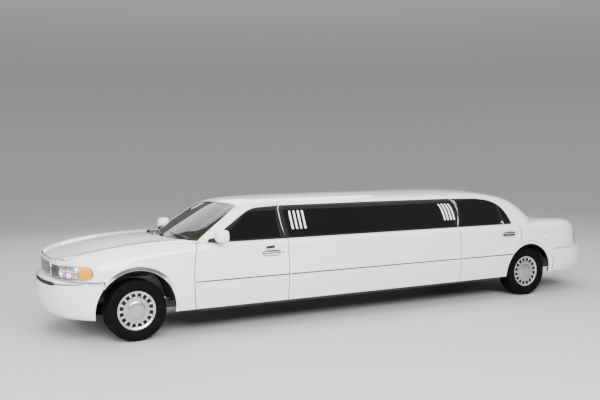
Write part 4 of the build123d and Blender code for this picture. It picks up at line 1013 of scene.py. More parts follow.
for side, s in SIDES:                     # the quarter pane's bar in each rear door
    b = "door_rear_" + side
    panel("quarter_pane_bar_" + side, ROOF, [roof_side([(-1992, 1006), (-1966, 1006), (-1938, 1262), (-1962, 1272)])], [], BLACK_TRIM, b,
          step=0.02, r=0.002, depth=0.008, lift=0.003, side=s)
    panel("quarter_pane_foot_" + side, ROOF, [roof_side([(-1994, 1006), (-1962, 1006), (-1955, 1052), (-1987, 1052)])], [], CHROME_SOFT, b,
          step=0.02, edge=0.01, r=0.0015, depth=0.006, lift=0.0055, side=s)
    panel("rear_door_edge_line_" + side, ROOF, [roof_side(rect(SEAM_C - 17, SEAM_C - 12, 1010, 1362))], [], CHROME_SOFT, b,
          step=0.02, edge=0.02, r=0.0008, depth=0.003, lift=0.0032, side=s)

for group, tops, bots in (("front", (1243, 1186, 1130, 1073), (1243, 1186, 1130, 1073)),
                          ("rear", (-973, -1026, -1079, -1132), (-1012, -1063, -1114, -1165))):
    for i, (xt, xb) in enumerate(zip(tops, bots)):
        panel("window_bar_%s_%d" % (group, i), ROOF, [rounded(roof_side([(xb - 12, 1103), (xb + 12, 1103), (xt + 12, 1313), (xt - 12, 1313)]), 0.008)], [],
              WHITE, step=0.02, edge=0.012, r=0.002, depth=0.006, lift=0.005, both=True)

# dark line where the roof was cut and joined, and the filler door with a black ring of painted shade for its gap
for xs_ in (SEAM_B, SEAM_C):
    panel("roof_joint_%d" % abs(xs_), ROOF, [roof_side(rect(xs_ - 1.5, xs_ + 1.5, 1396, 1428))], [], RUBBER, step=0.02, edge=0.01, r=0.0, depth=0.002,
          lift=0.0008, both=True)
cx, cz = -2713, 815
panel("filler_gap_painted_shade", BODY, [body_side(oval(cx, cz, 114, 114, 2.0, 40))], [body_side(oval(cx, cz, 106, 106, 2.0, 40))], SHADE_AND_STEM_BLACK, step=0.02, edge=0.01, r=0.0,
      depth=0.001, lift=0.0012)
panel("filler_door", BODY, [body_side(oval(cx, cz, 107, 107, 2.0, 40))], [], WHITE, step=0.02, edge=0.01, r=0.0025, depth=0.003, lift=0.0022)

# ---------------------------------------------------------------- lamps
lamp_o = lamp_ab
panel("headlamp_rims", BODY, [grown(lamp_o, 0.006)], [grown(lamp_o, -0.007)], CHROME_SOFT, step=0.02, edge=0.012, r=0.0015, depth=0.020, lift=0.0015,
      both=True)
panel("headlamp_bowls", BODY, [grown(lamp_o, 0.004)], [], REFLECTOR, step=0.025, edge=0.015, r=0.0, depth=0.003, lift=-0.040, both=True, inner=True)
panel("headlamp_walls", BODY, [grown(lamp_o, 0.003)], [grown(lamp_o, -0.004)], REFLECTOR, step=0.02, edge=0.012, r=0.0, depth=0.040, lift=-0.002,
      both=True)
a_corner = float(ax(3.735))
amber = [p for p in lamp_o]
amb = np.array([p for p in grown(lamp_o, -0.008)])
amb[:, 0] = np.minimum(amb[:, 0], a_corner)
panel("corner_lamps", BODY, [amb], [], AMBER, step=0.02, edge=0.012, r=0.002, depth=0.012, lift=0.0012, both=True)
clr = np.array([p for p in grown(lamp_o, -0.005)])
panel("headlamp_lenses", BODY, [clr], [], LENS, step=0.025, edge=0.015, r=0.003, depth=0.008, lift=-0.0005, both=True, replaces=("headlamps",))
for k, (a_, w) in enumerate(((a_corner + 0.007, 0.007), (float(a_lamp) - 0.055, 0.014))):
    panel("headlamp_rib_%d" % k, BODY, [np.array([(a_ - w / 2, nose(a_, 696)[1]), (a_ + w / 2, nose(a_, 696)[1]), (a_ + w / 2, nose(a_, 824)[1]),
                                                  (a_ - w / 2, nose(a_, 824)[1])])], [], BLACK_TRIM, step=0.02, edge=0.012, r=0.001, depth=0.036,
          lift=-0.004, both=True)
for side, s in SIDES:
    for k, a_ in enumerate((float(ax(3.80)) + 0.03, float(ax(3.80)) + 0.165)):
        p, n_ = BODY.at([nose(a_, 758)])
        c, n_ = p[0] - n_[0] * 0.036, n_[0]
        t1 = np.cross(n_, (0, 0, 1)); t1 /= np.linalg.norm(t1)
        t2 = np.cross(t1, n_)
        W = Build()
        rad = [(0.052, 0.026), (0.049, 0.012), (0.038, 0.003), (0.020, -0.003), (0.012, -0.004)]
        rings = [[c + n_ * d_ + r * (math.cos(q) * t1 + 0.92 * math.sin(q) * t2) for q in np.linspace(0, 2 * math.pi, 36, endpoint=False)] for r, d_ in rad]
        W.grid(np.array(rings) * (1, s, 1), 0, close_v=True)
        bulb = [(0.011, 0.000), (0.0115, 0.010), (0.008, 0.018), (0.0005, 0.021)]
        rings = [[c + n_ * d_ + r * (math.cos(q) * t1 + math.sin(q) * t2) for q in np.linspace(0, 2 * math.pi, 20, endpoint=False)] for r, d_ in bulb]
        W.grid(np.array(rings) * (1, s, 1), 1, close_v=True)
        W.done("headlamp_bulb_%s_%d" % (side, k), [CHROME, PLATE], sharp=60)

panel("tail_lamp_lenses", BODY, [grown(tl, -0.004)], [], RED, step=0.025, edge=0.015, r=0.004, depth=0.014, lift=0.0015, both=True,
      replaces=("tail_lamps",))
panel("tail_lamp_rims", BODY, [grown(tl, 0.003)], [grown(tl, -0.005)], CHROME_SOFT, step=0.02, edge=0.012, r=0.001, depth=0.016, lift=0.001, both=True)
a_rev = float(tl[:, 0].min())
panel("reverse_lamps", BODY, [rounded(np.array([tail(a_rev + 0.03, 700), tail(a_rev + 0.10, 700), tail(a_rev + 0.10, 752), tail(a_rev + 0.03, 752)]), 0.01)], [],
      PLATE, step=0.02, edge=0.01, r=0.002, depth=0.006, lift=0.004, both=True)
for k, z_ in enumerate((772, 800, 828)):
    panel("tail_lamp_bead_%d" % k, BODY, [np.array([tail(a_rev + 0.02, z_ - 2), tail(tl[:, 0].max() - 0.035, z_ - 2), tail(tl[:, 0].max() - 0.035, z_ + 2),
                                                    tail(a_rev + 0.02, z_ + 2)])], [], CHROME_SOFT, step=0.02, edge=0.02, r=0.0008, depth=0.003, lift=0.0035,
          both=True)

# ---------------------------------------------------------------- grille and nose slot
ag = float(np.interp(-0.305 / 0.976, -BK[BX > 3.3], BT[BX > 3.3]))
ae = float(BT[-1])
g_out = np.array([nose(ag, 684), (ae, nose(ae - 0.01, 684)[1]), (ae, nose(ae - 0.01, 848)[1]), nose(ag, 846)])
g_in = np.array([nose(ag + 0.022, 706), (ae + 0.05, nose(ae - 0.01, 706)[1]), (ae + 0.05, nose(ae - 0.01, 828)[1]), nose(ag + 0.022, 826)])
panel("grille_surround", BODY, [g_out], [g_in], CHROME, "hood_lid", step=0.03, edge=0.015, r=0.004, depth=0.024, lift=0.005, weld=True,
      replaces=("grille",))
# black sheet behind the grille: painted shade in its opening
panel("grille_back_painted_shade", BODY, [g_out], [], SHADE_AND_STEM_BLACK, "hood_lid", step=0.04, edge=0.02, r=0.0, depth=0.003, lift=-0.024, weld=True)
hd = [nose(ag - 0.02, 838), (ae, nose(ae - 0.01, 838)[1]), (ae, nose(ae - 0.01, 838)[1] + 0.11), (ag - 0.02, nose(ag - 0.02, 838)[1] + 0.11)]
panel("nose_header", BODY, [np.array(hd)], [], WHITE, "hood_lid", step=0.04, edge=0.02, r=0.002, depth=0.012, lift=-0.004, weld=True)
nc = [nose(ag - 0.13, 853), nose(ag - 0.015, 849), (ag - 0.015, nose(ag - 0.015, 849)[1] + 0.07), (ag - 0.13, nose(ag - 0.13, 853)[1] + 0.07)]
panel("nose_corners", BODY, [np.array(nc)], [], WHITE, step=0.03, edge=0.015, r=0.0, depth=0.003, lift=-0.009, both=True)
G = Build()
for i in range(-6, 7):
    y = 0.0445 * i
    pts_ = []
    for z in np.linspace(0.702, 0.830, 6):
        j = int(np.argmin(np.abs(BODY.P[-40, :70, 2] - z)))
        row = BODY.P[450:, j]
        x = float(np.interp(abs(y), row[::-1, 1], row[::-1, 0]))
        pts_.append((x, y, z))
    pts_ = np.array(pts_)
    quad = [(-0.020, -0.0035), (0.001, -0.0035), (0.003, 0.0), (0.001, 0.0035), (-0.020, 0.0035)]
    G.grid(np.array([[(p[0] + a_, p[1] + b_, p[2]) for a_, b_ in quad] for p in pts_]), 0, close_v=True)
for z in (0.745, 0.788):
    row = []
    for y in np.linspace(-0.29, 0.29, 31):
        j = int(np.argmin(np.abs(BODY.P[-40, :70, 2] - z)))
        rw = BODY.P[450:, j]
        row.append((float(np.interp(abs(y), rw[::-1, 1], rw[::-1, 0])) - 0.012, y, z))
    G.tube(row, 0.0035, 0, n=8)
G.done("grille_bars", CHROME, "hood_lid", slot="chrome", sharp=40)
f_col = np.where(FB.P[2, :, 2] > 0.35)[0][0]


def fb_b(z):
    return float(np.interp(z / 1000.0, FB.P[2, f_col:64, 2], FB.B[f_col:64]))


cut_a = [a for a, b in cut_line(FB, front_cut2)]
a_arch = min(cut_a) - 0.006
# the slot is a flat black patch: painted shade for its opening
panel("nose_slot", FB, [np.array([(0, fb_b(606)), (0.40, fb_b(606)), (0.46, fb_b(616)), (0.46, fb_b(634)), (0.40, fb_b(642)), (0, fb_b(642))])], [],
      SHADE_AND_STEM_BLACK, step=0.03, r=0.0, depth=0.001, lift=0.0015, weld=True)
panel("nose_slot_rim", FB, [np.array([(0, fb_b(602)), (0.405, fb_b(602)), (0.468, fb_b(614)), (0.468, fb_b(636)), (0.405, fb_b(646)), (0, fb_b(646))])],
      [np.array([(-0.05, fb_b(607)), (0.40, fb_b(607)), (0.459, fb_b(617)), (0.459, fb_b(633)), (0.40, fb_b(641)), (-0.05, fb_b(641))])], CHROME_SOFT,
      step=0.03, edge=0.015, r=0.001, depth=0.004, lift=0.003, weld=True)
mo = [(0.47, fb_b(620))] + [(a, fb_b(620 + 22 * (a - 0.47) / (a_arch - 0.47))) for a in np.linspace(0.55, a_arch, 12)]
mo += [(a, fb_b(630 + 22 * (a - 0.47) / (a_arch - 0.47))) for a in np.linspace(a_arch, 0.55, 12)] + [(0.47, fb_b(630))]
panel("bumper_strip_front", FB, [np.array(mo)], [], BLACK_TRIM, step=0.03, edge=0.02, r=0.001, depth=0.004, lift=0.0025, both=True)
r_col = np.where(RBS.P[2, :, 2] > 0.35)[0][0]


def rb_b(z):
    return float(np.interp(z / 1000.0, RBS.P[2, r_col:60, 2], RBS.B[r_col:60]))


# ---------------------------------------------------------------- plate and rear details
pl = Build()
pl.box(-3.8520, -3.8490, -0.1525, 0.1525, 0.394, 0.546, 0, r=0.0012)
for y in (-0.089, 0.089):
    for z in (0.4095, 0.5305):
        t = np.linspace(0, 2 * math.pi, 14, endpoint=False)
        pl.grid(np.array([[(x, y + r * math.cos(a), z + r * math.sin(a)) for a in t] for x, r in
                          ((-3.8520, 0.0075), (-3.8537, 0.0075), (-3.8545, 0.006), (-3.8545, 0.0005))]), 1, close_v=True)
pl.done("rear_plate", [PLATE, STEEL])
ps = Build()
ps.box(-3.8380, -3.8350, -0.178, 0.178, 0.372, 0.572, 0, r=0.0)
ps.box(-3.8489, -3.8381, -0.135, 0.135, 0.412, 0.528, 0, r=0.003)
ps.done("rear_plate_recess", PLASTIC)
panel("lid_trim", BODY, [np.array([(a_tip, tail(a_tip + 0.002, 690)[1]), tail(lid[8][0] - 0.014, 690), tail(lid[8][0] - 0.014, 716), (a_tip, tail(a_tip + 0.002, 716)[1])])], [],
      CHROME, "trunk", step=0.03, edge=0.015, r=0.003, depth=0.010, lift=0.006, weld=True)
tb = Build()
tb.box(-2.800, -2.772, -0.16, 0.16, 0.992, 1.022, 0, r=0.006)
tb.box(-2.803, -2.800, -0.150, 0.150, 0.997, 1.017, 1, r=0.001)
tb.done("upper_brake_lamp", [PLASTIC, RED])

# ---------------------------------------------------------------- glass edges, wipers
hole_f, hole_r = grown(dense(shield_ab, 0.03), -0.026), grown(dense(backl_ab, 0.03), -0.022)
hole_f[hole_f[:, 0] < 0.028, 0] = -0.05            # open across the centre line
hole_r[hole_r[:, 0] > RNOM_U[7] - 0.024, 0] = RNOM_U[7] + 0.05
panel("windshield_frit", ROOF, [grown(dense(shield_ab, 0.03), 0.002)], [hole_f], BLACK_TRIM, step=0.04, edge=0.02, r=0.0,
      depth=0.003, lift=-0.0035, weld=True)
panel("rear_window_frit", ROOF, [grown(dense(backl_ab, 0.03), 0.002)], [hole_r], BLACK_TRIM, step=0.04, edge=0.02, r=0.0,
      depth=0.003, lift=-0.0035, weld=True)
Wp = Build()
for y0, y1, zt in ((0.60, 0.02, 1.075), (-0.04, -0.60, 1.070)):
    ys = np.linspace(y0, y1, 12)
    zs = np.linspace(1.028, zt, 12) if y0 > 0.5 else np.linspace(1.030, zt, 12)
    ab = roof_front([(1000 * abs(y), 1000 * z) for y, z in zip(ys, zs)])
    p, n_ = ROOF.at(ab)
    sg = np.where(ys < 0, -1.0, 1.0)[:, None]
    p = p * np.hstack([np.ones_like(sg), sg, np.ones_like(sg)]); n_ = n_ * np.hstack([np.ones_like(sg), sg, np.ones_like(sg)])
    Wp.tube(p + n_ * 0.006, 0.0035, 0, n=6)
    Wp.tube(p[:7] * [[1, 1, 1]] + n_[:7] * 0.017, np.linspace(0.008, 0.0045, 7), 0, n=8)
    Wp.box(p[0][0] - 0.016, p[0][0] + 0.030, p[0][1] - 0.016, p[0][1] + 0.016, p[0][2] - 0.012, p[0][2] + 0.014, 0, r=0.005)
Wp.done("wipers", BLACK_TRIM, sharp=50)
cw = Build()
for row in np.linspace(0.0, 1.0, 7):
    pass
cowl_pts = []
for y in np.linspace(-0.80, 0.80, 41):
    xb = float(np.interp(abs(y), [0, 0.38, 0.64, 0.80], [2.676, 2.628, 2.548, 2.500])) - 0.002
    xa = float(np.interp(abs(y), [0, 0.41, 0.79], [2.603, 2.548, 2.372])) + 0.004
    xf = np.linspace(xb, xa, 12)
    zt = float(np.interp(xb, BX, ZC)) - 0.030 - 0.05 * (abs(y) / 0.8) ** 3 * 0.5
    cowl_pts.append([(x, y, min(zt, 1.012) + 0.004 * (k % 2) - 0.003 * k * 0.2) for k, x in enumerate(xf)])
cw.grid(np.array(cowl_pts))
cw.done("cowl_louvres", PLASTIC, sharp=25)

# ---------------------------------------------------------------- mirrors
for side, s in SIDES:
    b = "door_front_" + side
    M = Build()
    c, h = np.array([2.214, 1.030, 1.086]), np.array([0.078, 0.098, 0.072])
    U, V = np.linspace(0, 2 * math.pi, 40, endpoint=False), np.linspace(-math.pi / 2, math.pi / 2, 22)

    def se(u, v, p=2.9):
        f = lambda t: math.copysign(abs(t) ** (2 / p), t)
        return f(math.cos(v)) * f(math.cos(u)), f(math.cos(v)) * f(math.sin(u)), f(math.sin(v))

    P = np.zeros((len(U), len(V), 3))
    for i, u in enumerate(U):
        for j, v in enumerate(V):
            y, z, x = se(u, v)
            x = max(x, -0.62)
            k = 1.0 - 0.10 * max(x, 0) ** 2
            P[i, j] = c + np.array([x * h[0], y * h[1] * k, z * h[2] * k])
    P[..., 1] *= s
    M.grid(P, 0, close_u=True)
    M.done("mirror_cap_" + side, WHITE, b, replaces=("mirror_" + side,), slot="body_white", sharp=35)
    g = Build()
    gp = []
    for r in (1.0, 0.96, 0.93, 0.0):
        gp.append([(c[0] - h[0] * 0.62 - (0.003 if r > 0.95 else 0.0015), s * (c[1] + 0.90 * r * h[1] * se(u, 0)[0]), c[2] + 0.90 * r * h[2] * se(u, 0)[1]) for u in U])
    g.grid(np.array(gp[:3]), 0, close_v=True)
    g.grid(np.array(gp[2:]), 1, close_v=True)
    g.done("mirror_glass_" + side, [BLACK_TRIM, CHROME], b, sharp=40)
    a = Build()
    foot = []
    for y, x0, x1, z0, z1 in ((0.900, 2.190, 2.330, 1.006, 1.058), (0.925, 2.194, 2.300, 1.012, 1.062), (0.950, 2.198, 2.272, 1.026, 1.072),
                              (0.975, 2.200, 2.256, 1.040, 1.082)):
        xm, zm, hx, hz = (x0 + x1) / 2, (z0 + z1) / 2, (x1 - x0) / 2, (z1 - z0) / 2
        foot.append([(xm + hx * se(u, 0, 3.2)[0], s * y, zm + hz * se(u, 0, 3.2)[1]) for u in U])
    a.grid(np.array(foot), 0, close_v=True)
    a.done("mirror_foot_" + side, BLACK_TRIM, b, sharp=45)
    panel("mirror_sail_" + side, ROOF, [rounded(roof_side([(2314, 1008), (2165, 1008), (2160, 1095), (2182, 1090)]), 0.01)], [], BLACK_TRIM, b, step=0.02,
          edge=0.012, r=0.002, depth=0.010, lift=0.006, side=s)

# ---------------------------------------------------------------- wheels and tyres
RIM_BACK = [(-0.088, 0.2070), (-0.0905, 0.2130), (-0.092, 0.2200), (-0.086, 0.2205), (-0.080, 0.2060), (-0.060, 0.1950), (0.000, 0.1880), (0.052, 0.1930),
            (0.072, 0.2040), (0.080, 0.2150), (0.0860, 0.2205), (0.0918, 0.2195), (0.0915, 0.2130), (0.0880, 0.2060)]
COVER_OUT = [(0.0885, 0.2055), (0.0895, 0.2010), (0.0880, 0.1955), (0.0835, 0.1905), (0.0815, 0.1855)]
COVER_IN = [(0.0800, 0.1430), (0.0815, 0.1390), (0.0812, 0.1250), (0.0800, 0.1040), (0.0808, 0.0975), (0.0850, 0.0920), (0.0882, 0.0800), (0.0902, 0.0550),
            (0.0912, 0.0280), (0.0915, 0.0010)]
SIDEWALL = [(0.0800, 0.2050), (0.0925, 0.2110), (0.1000, 0.2210), (0.1062, 0.2380), (0.1098, 0.2560), (0.1110, 0.2720), (0.1104, 0.2850), (0.1088, 0.2864),
            (0.1078, 0.2950), (0.1082, 0.2972), (0.1056, 0.3080), (0.1006, 0.3180), (0.0936, 0.3256), (0.0860, 0.3300)]
TREAD = [(0.0780, 0.3316), (0.0520, 0.3326), (0.0500, 0.3258), (0.0430, 0.3258), (0.0410, 0.3330), (0.0060, 0.3330), (0.0040, 0.3260), (-0.0040, 0.3260),
         (-0.0060, 0.3330), (-0.0410, 0.3330), (-0.0430, 0.3258), (-0.0500, 0.3258), (-0.0520, 0.3326), (-0.0780, 0.3316)]
TYRE_PROF = SIDEWALL + TREAD + [(-a, r) for a, r in SIDEWALL[::-1]]
FRONT, REAR = (3.145, 0.805), (-2.385, 0.826)


def tread_mod(j, r):
    r = r.copy()
    if j % 4 == 0:
        for i in list(range(12, 16)) + list(range(26, 30)):
            r[i] -= 0.0055
    if j % 4 == 2:
        for i in range(18, 24):
            if r[i] > 0.3300:
                r[i] -= 0.0045
    return r


for axle, (wx, wy) in (("front", FRONT), ("rear", REAR)):
    for side, s in SIDES:
        o = (wx, s * wy, 0.333)
        b = "rolling_%s_%s" % (axle, side)
        t = Build()
        t.lathe(TYRE_PROF, o, s, seg=144, mod=tread_mod)
        t.done("tyre_%s_%s_rubber" % (axle, side), TYRE, b, replaces=("tyre_%s_%s" % (axle, side),), slot="tyre", sharp=28)
        w = Build()
        w.lathe(RIM_BACK, o, s, 0, seg=96)
        w.lathe(COVER_OUT, o, s, 1, seg=96)
        w.lathe(COVER_IN, o, s, 2, seg=96)
        # black ring behind the cover's slots and black slot walls below (material 3): painted shade in the openings;
        # the valve stem below is black rubber
        w.lathe([(0.050, 0.1880), (0.050, 0.1400)], o, s, 3, seg=96)
        dl = 2 * math.pi / 96

        def pt(a_, r_, j_):
            return (o[0] + r_ * math.cos(j_ * dl), o[1] + s * a_, o[2] + r_ * math.sin(j_ * dl))

        R0, R1, Z0, Z1, ZD = 0.1855, 0.1430, 0.0815, 0.0800, 0.050
        for j in range(96):
            if j % 6 not in (1, 2, 3, 4):
                w.add([pt(Z0, R0, j), pt(Z1, R1, j), pt(Z1, R1, j + 1), pt(Z0, R0, j + 1)], [(0, 1, 2, 3)], 1)
            else:
                w.add([pt(Z0, R0, j), pt(ZD, R0, j), pt(ZD, R0, j + 1), pt(Z0, R0, j + 1)], [(0, 1, 2, 3)], 3)
                w.add([pt(Z1, R1, j), pt(ZD, R1, j), pt(ZD, R1, j + 1), pt(Z1, R1, j + 1)], [(0, 1, 2, 3)], 3)
                if j % 6 in (1, 4):
                    e = j if j % 6 == 1 else j + 1
                    w.add([pt(Z0, R0, e), pt(ZD, R0, e), pt(ZD, R1, e), pt(Z1, R1, e)], [(0, 1, 2, 3)], 3)
        w.tube([pt(0.086, 0.197, 3), pt(0.092, 0.193, 3)], 0.0035, 3, n=8)
        w.done("wheel_%s_%s_cover" % (axle, side), [STEEL, WHEEL, WHEEL_DOME, SHADE_AND_STEM_BLACK], b, replaces=("wheel_%s_%s" % (axle, side),), slot="wheel_silver",
               sharp=32, weld=True)

# ---------------------------------------------------------------- soft seats


def pad(name, c, size, r, crown, mat, body="root", tilt=0.0, channels=(), axis=0, replaces=(), slot=None, fill=0.7, cuts=22, up=2, pull=0.012, sideways=0.0):
    """A crowned cushion about centre c; tilt turns it about Y, channels are grooves across `axis`; up is the face that swells."""
    h = np.array(size) / 2.0
    bm = bmesh.new()
    bmesh.ops.create_cube(bm, size=2.0)
    bmesh.ops.subdivide_edges(bm, edges=list(bm.edges), cuts=cuts, use_grid_fill=True)
    co = np.array([v.co for v in bm.verts])
    q = np.sin(co * math.pi / 2)
    p = q * h
    core = np.clip(p, -(h - r), h - r)
    dd = p - core
    n = dd / (np.linalg.norm(dd, axis=1, keepdims=True) + 1e-12)
    p = core + n * r * (np.linalg.norm(dd, axis=1, keepdims=True) > 1e-9)
    u = p / h
    oth = [k for k in range(3) if k != up]
    rise = np.clip(u[:, up], 0, 1) ** 1.0
    p[:, up] += rise * crown * np.prod([1 - np.clip(np.abs(u[:, k]), 0, 1) ** 2.4 for k in oth], axis=0) - rise * crown * 0.45
    for k in oth:                       # the sides pull in between the corners
        e = np.clip(np.abs(u[:, k]) - 0.75, 0, 0.25) / 0.25
        j = [m for m in oth if m != k][0]
        p[:, k] -= np.sign(u[:, k]) * e * pull * (1 - u[:, j] ** 2)
    for pos, dep, wd in channels:
        p[:, up] -= rise * dep * np.exp(-((p[:, axis] - pos) / wd) ** 2)
    ct, st = math.cos(tilt), math.sin(tilt)
    R = np.array([[ct, 0, st], [0, 1, 0], [-st, 0, ct]])
    cs, ss = math.cos(sideways), math.sin(sideways)
    R = np.array([[1, 0, 0], [0, cs, -ss], [0, ss, cs]]) @ R
    # seam: a welt round the upper edge
    w = Build()
    k0, k1 = oth
    tt = np.linspace(0, 2 * math.pi, 72, endpoint=False)
    f = lambda v: math.copysign(abs(v) ** (2 / 7.0), v)
    loop = []
    for t in tt:
        v = np.zeros(3)
        v[k0] = f(math.cos(t)) * (h[k0] - r * 0.30); v[k1] = f(math.sin(t)) * (h[k1] - r * 0.30)
        a0, a1 = abs(v[k0] / h[k0]), abs(v[k1] / h[k1])
        v[k0] -= np.sign(v[k0]) * pull * max(0, (a0 - 0.75) / 0.25) * (1 - a1 ** 2)
        v[k1] -= np.sign(v[k1]) * pull * max(0, (a1 - 0.75) / 0.25) * (1 - a0 ** 2)
        v[up] = h[up] - r * 0.30 - crown * 0.45
        loop.append(R @ v + c)
    p = p @ R.T + c
    for v, q_ in zip(bm.verts, p):
        v.co = q_
    bm.verts.ensure_lookup_table()
    verts = [v.co.copy() for v in bm.verts]
    faces = [[v.index for v in f_.verts] for f_ in bm.faces]
    bm.free()
    ob = new_object(name, verts, faces, mat, body, replaces=replaces)
    w.tube(loop, 0.0032, 0, n=7, closed=True)
    w.done(name + "_welt", SEAM, body, sharp=None)
    return ob


first = ("front_seats",)
for side, s in SIDES:
    y = s * 0.355
    pad("front_cushion_" + side, (1.835, y, 0.575), (0.46, 0.50, 0.15), 0.050, 0.030, LEATHER_GREY, channels=((-0.09, 0.010, 0.010), (0.05, 0.010, 0.010)),
        axis=1, tilt=-0.10, replaces=("front_seats",), slot="leather_black")
    pad("front_backrest_" + side, (1.540, y, 0.855), (0.13, 0.49, 0.56), 0.050, 0.024, LEATHER_GREY, channels=((-0.12, 0.010, 0.012), (0.06, 0.010, 0.012)),
        axis=2, up=0, tilt=-0.15, slot="leather_black")
    S = Build()
    S.box(1.57, 2.045, y - 0.235, y + 0.235, 0.360, 0.490, 0, r=0.02)
    S.box(1.60, 2.03, y - 0.250, y + 0.250, 0.470, 0.520, 1, r=0.015)
    S.done("front_seat_base_" + side, [PLASTIC, LEATHER])
for k, y in enumerate((-0.395, 0.0, 0.395)):
    pad("rear_cushion_%d" % k, (-1.615, y, 0.560), (0.46, 0.388, 0.15), 0.048, 0.026, LEATHER, channels=((-0.075, 0.009, 0.009), (0.075, 0.009, 0.009)), axis=1,
        tilt=0.07, replaces=("rear_seat",), slot="leather_black")
    pad("rear_backrest_%d" % k, (-1.965, y, 0.800), (0.115, 0.388, 0.38), 0.045, 0.022, LEATHER, channels=((-0.06, 0.009, 0.010), (0.07, 0.009, 0.010)), axis=2,
        up=0, tilt=-0.33, slot="leather_black")
S = Build()
S.box(-1.84, -1.40, -0.585, 0.585, 0.360, 0.500, 0, r=0.015)
S.done("rear_seat_base", CARPET)
for k, x in enumerate(np.linspace(-0.87, 0.82, 4)):
    pad("bench_cushion_%d" % k, (x, -0.525, 0.568), (0.545, 0.37, 0.14), 0.046, 0.024, LEATHER, channels=((-0.09, 0.009, 0.010), (0.09, 0.009, 0.010)), axis=0,
        replaces=("side_bench",), slot="leather_black")
    pad("bench_backrest_%d" % k, (x, -0.778, 0.810), (0.545, 0.095, 0.33), 0.040, 0.018, LEATHER, channels=((-0.05, 0.008, 0.010), (0.06, 0.008, 0.010)), axis=2,
        up=1, sideways=0.17, slot="leather_black")
S = Build()
S.box(-1.145, 1.095, -0.855, -0.36, 0.360, 0.500, 0, r=0.012)
S.done("bench_base", CARPET)

# ---------------------------------------------------------------- dashboard, steering wheel, cabinet, door cards
ct_, st_ = 0.94, 0.34
nrm = np.array([-ct_, 0, st_]) / math.hypot(ct_, st_)
e1, e2 = np.array([0, 1.0, 0]), np.cross(nrm, [0, 1.0, 0])
cs_ = np.array([1.960, 0.400, 0.900])
T = Build()
ringp = [cs_ + 0.176 * (math.cos(a) * e1 + math.sin(a) * e2) for a in np.linspace(0, 2 * math.pi, 56, endpoint=False)]
T.tube(ringp, 0.0135, 0, n=12, closed=True)
for a in (0.12, math.pi - 0.12, 1.5 * math.pi - 0.5, 1.5 * math.pi + 0.5):
    for sgn in (1,):
        p0 = cs_ - nrm * 0.012 + 0.045 * (math.cos(a) * e1 + math.sin(a) * e2)
        p1 = cs_ + 0.170 * (math.cos(a) * e1 + math.sin(a) * e2)
        T.tube([p0 + (p1 - p0) * q for q in np.linspace(0, 1, 6)], np.linspace(0.014, 0.009, 6), 1, n=8)
hub = [(0.070, -0.020), (0.072, -0.004), (0.064, 0.008), (0.040, 0.014), (0.0005, 0.016)]
T.grid(np.array([[cs_ + nrm * d_ + r * (1.15 * math.cos(a) * e1 + 0.8 * math.sin(a) * e2) for a in np.linspace(0, 2 * math.pi, 32, endpoint=False)] for r, d_ in hub]),
       1, close_v=True)
T.tube([cs_ - nrm * q for q in np.linspace(0.015, 0.17, 5)], np.linspace(0.030, 0.036, 5), 1, n=14)
T.done("steering_wheel_rim", [LEATHER, PLASTIC], replaces=("steering_wheel",), slot="dash_grey", sharp=45)
D = Build()
D.box(2.100, 2.215, 0.19, 0.60, 0.922, 0.958, 0, r=0.014)
D.box(2.088, 2.096, 0.21, 0.58, 0.842, 0.912, 1, r=0.003)
D.box(2.082, 2.094, -0.16, 0.12, 0.76, 0.90, 2, r=0.004)
for k in range(3):
    D.box(2.076, 2.086, -0.145, 0.105, 0.775 + 0.040 * k, 0.803 + 0.040 * k, 1, r=0.003)
D.box(2.080, 2.094, -0.78, -0.20, 0.852, 0.874, 2, r=0.003)
for y in (-0.74, -0.28, 0.66):
    for k in range(5):
        D.box(2.074, 2.090, y - 0.05, y + 0.05, 0.882 + 0.007 * k, 0.8855 + 0.007 * k, 0, r=0.001)
D.done("dashboard_details", [DASH, SCREEN, WOOD])
K = Build()
for x in (-0.62, -0.18, 0.26, 0.70):
    K.box(x - 0.17 + 0.17, x + 0.40 - 0.0, 0.4745, 0.4815, 0.42, 0.74, 0, r=0.004)
    K.tube([(x + 0.03, 0.470, 0.58), (x + 0.03, 0.466, 0.60), (x + 0.03, 0.466, 0.66), (x + 0.03, 0.470, 0.68)], 0.004, 1, n=8)
K.tube([(-0.68, 0.476, 0.905), (0.20, 0.474, 0.912), (1.13, 0.476, 0.905)], 0.0065, 1, n=10)
K.done("cabinet_fronts", [WOOD, CHROME])
g = Build()
for i, x in enumerate((-0.50, -0.38, -0.26, 0.55, 0.67, 0.79)):
    t = np.linspace(0, 2 * math.pi, 24, endpoint=False)
    prof = [(0.0005, 0.784), (0.030, 0.784), (0.034, 0.862), (0.032, 0.862), (0.0275, 0.792), (0.0005, 0.790)]
    g.grid(np.array([[(x + r * math.cos(a), 0.66 + r * math.sin(a), z) for a in t] for r, z in prof]), 0, close_v=True)
prof = [(0.0005, 0.783), (0.075, 0.783), (0.092, 0.890), (0.098, 0.893), (0.094, 0.896), (0.071, 0.790), (0.0005, 0.788)]
g.grid(np.array([[(0.10 + r * math.cos(a), 0.66 + r * math.sin(a), z) for a in np.linspace(0, 2 * math.pi, 36, endpoint=False)] for r, z in prof]), 1, close_v=True)
g.done("bar_glasses", [LENS, CHROME], sharp=40)
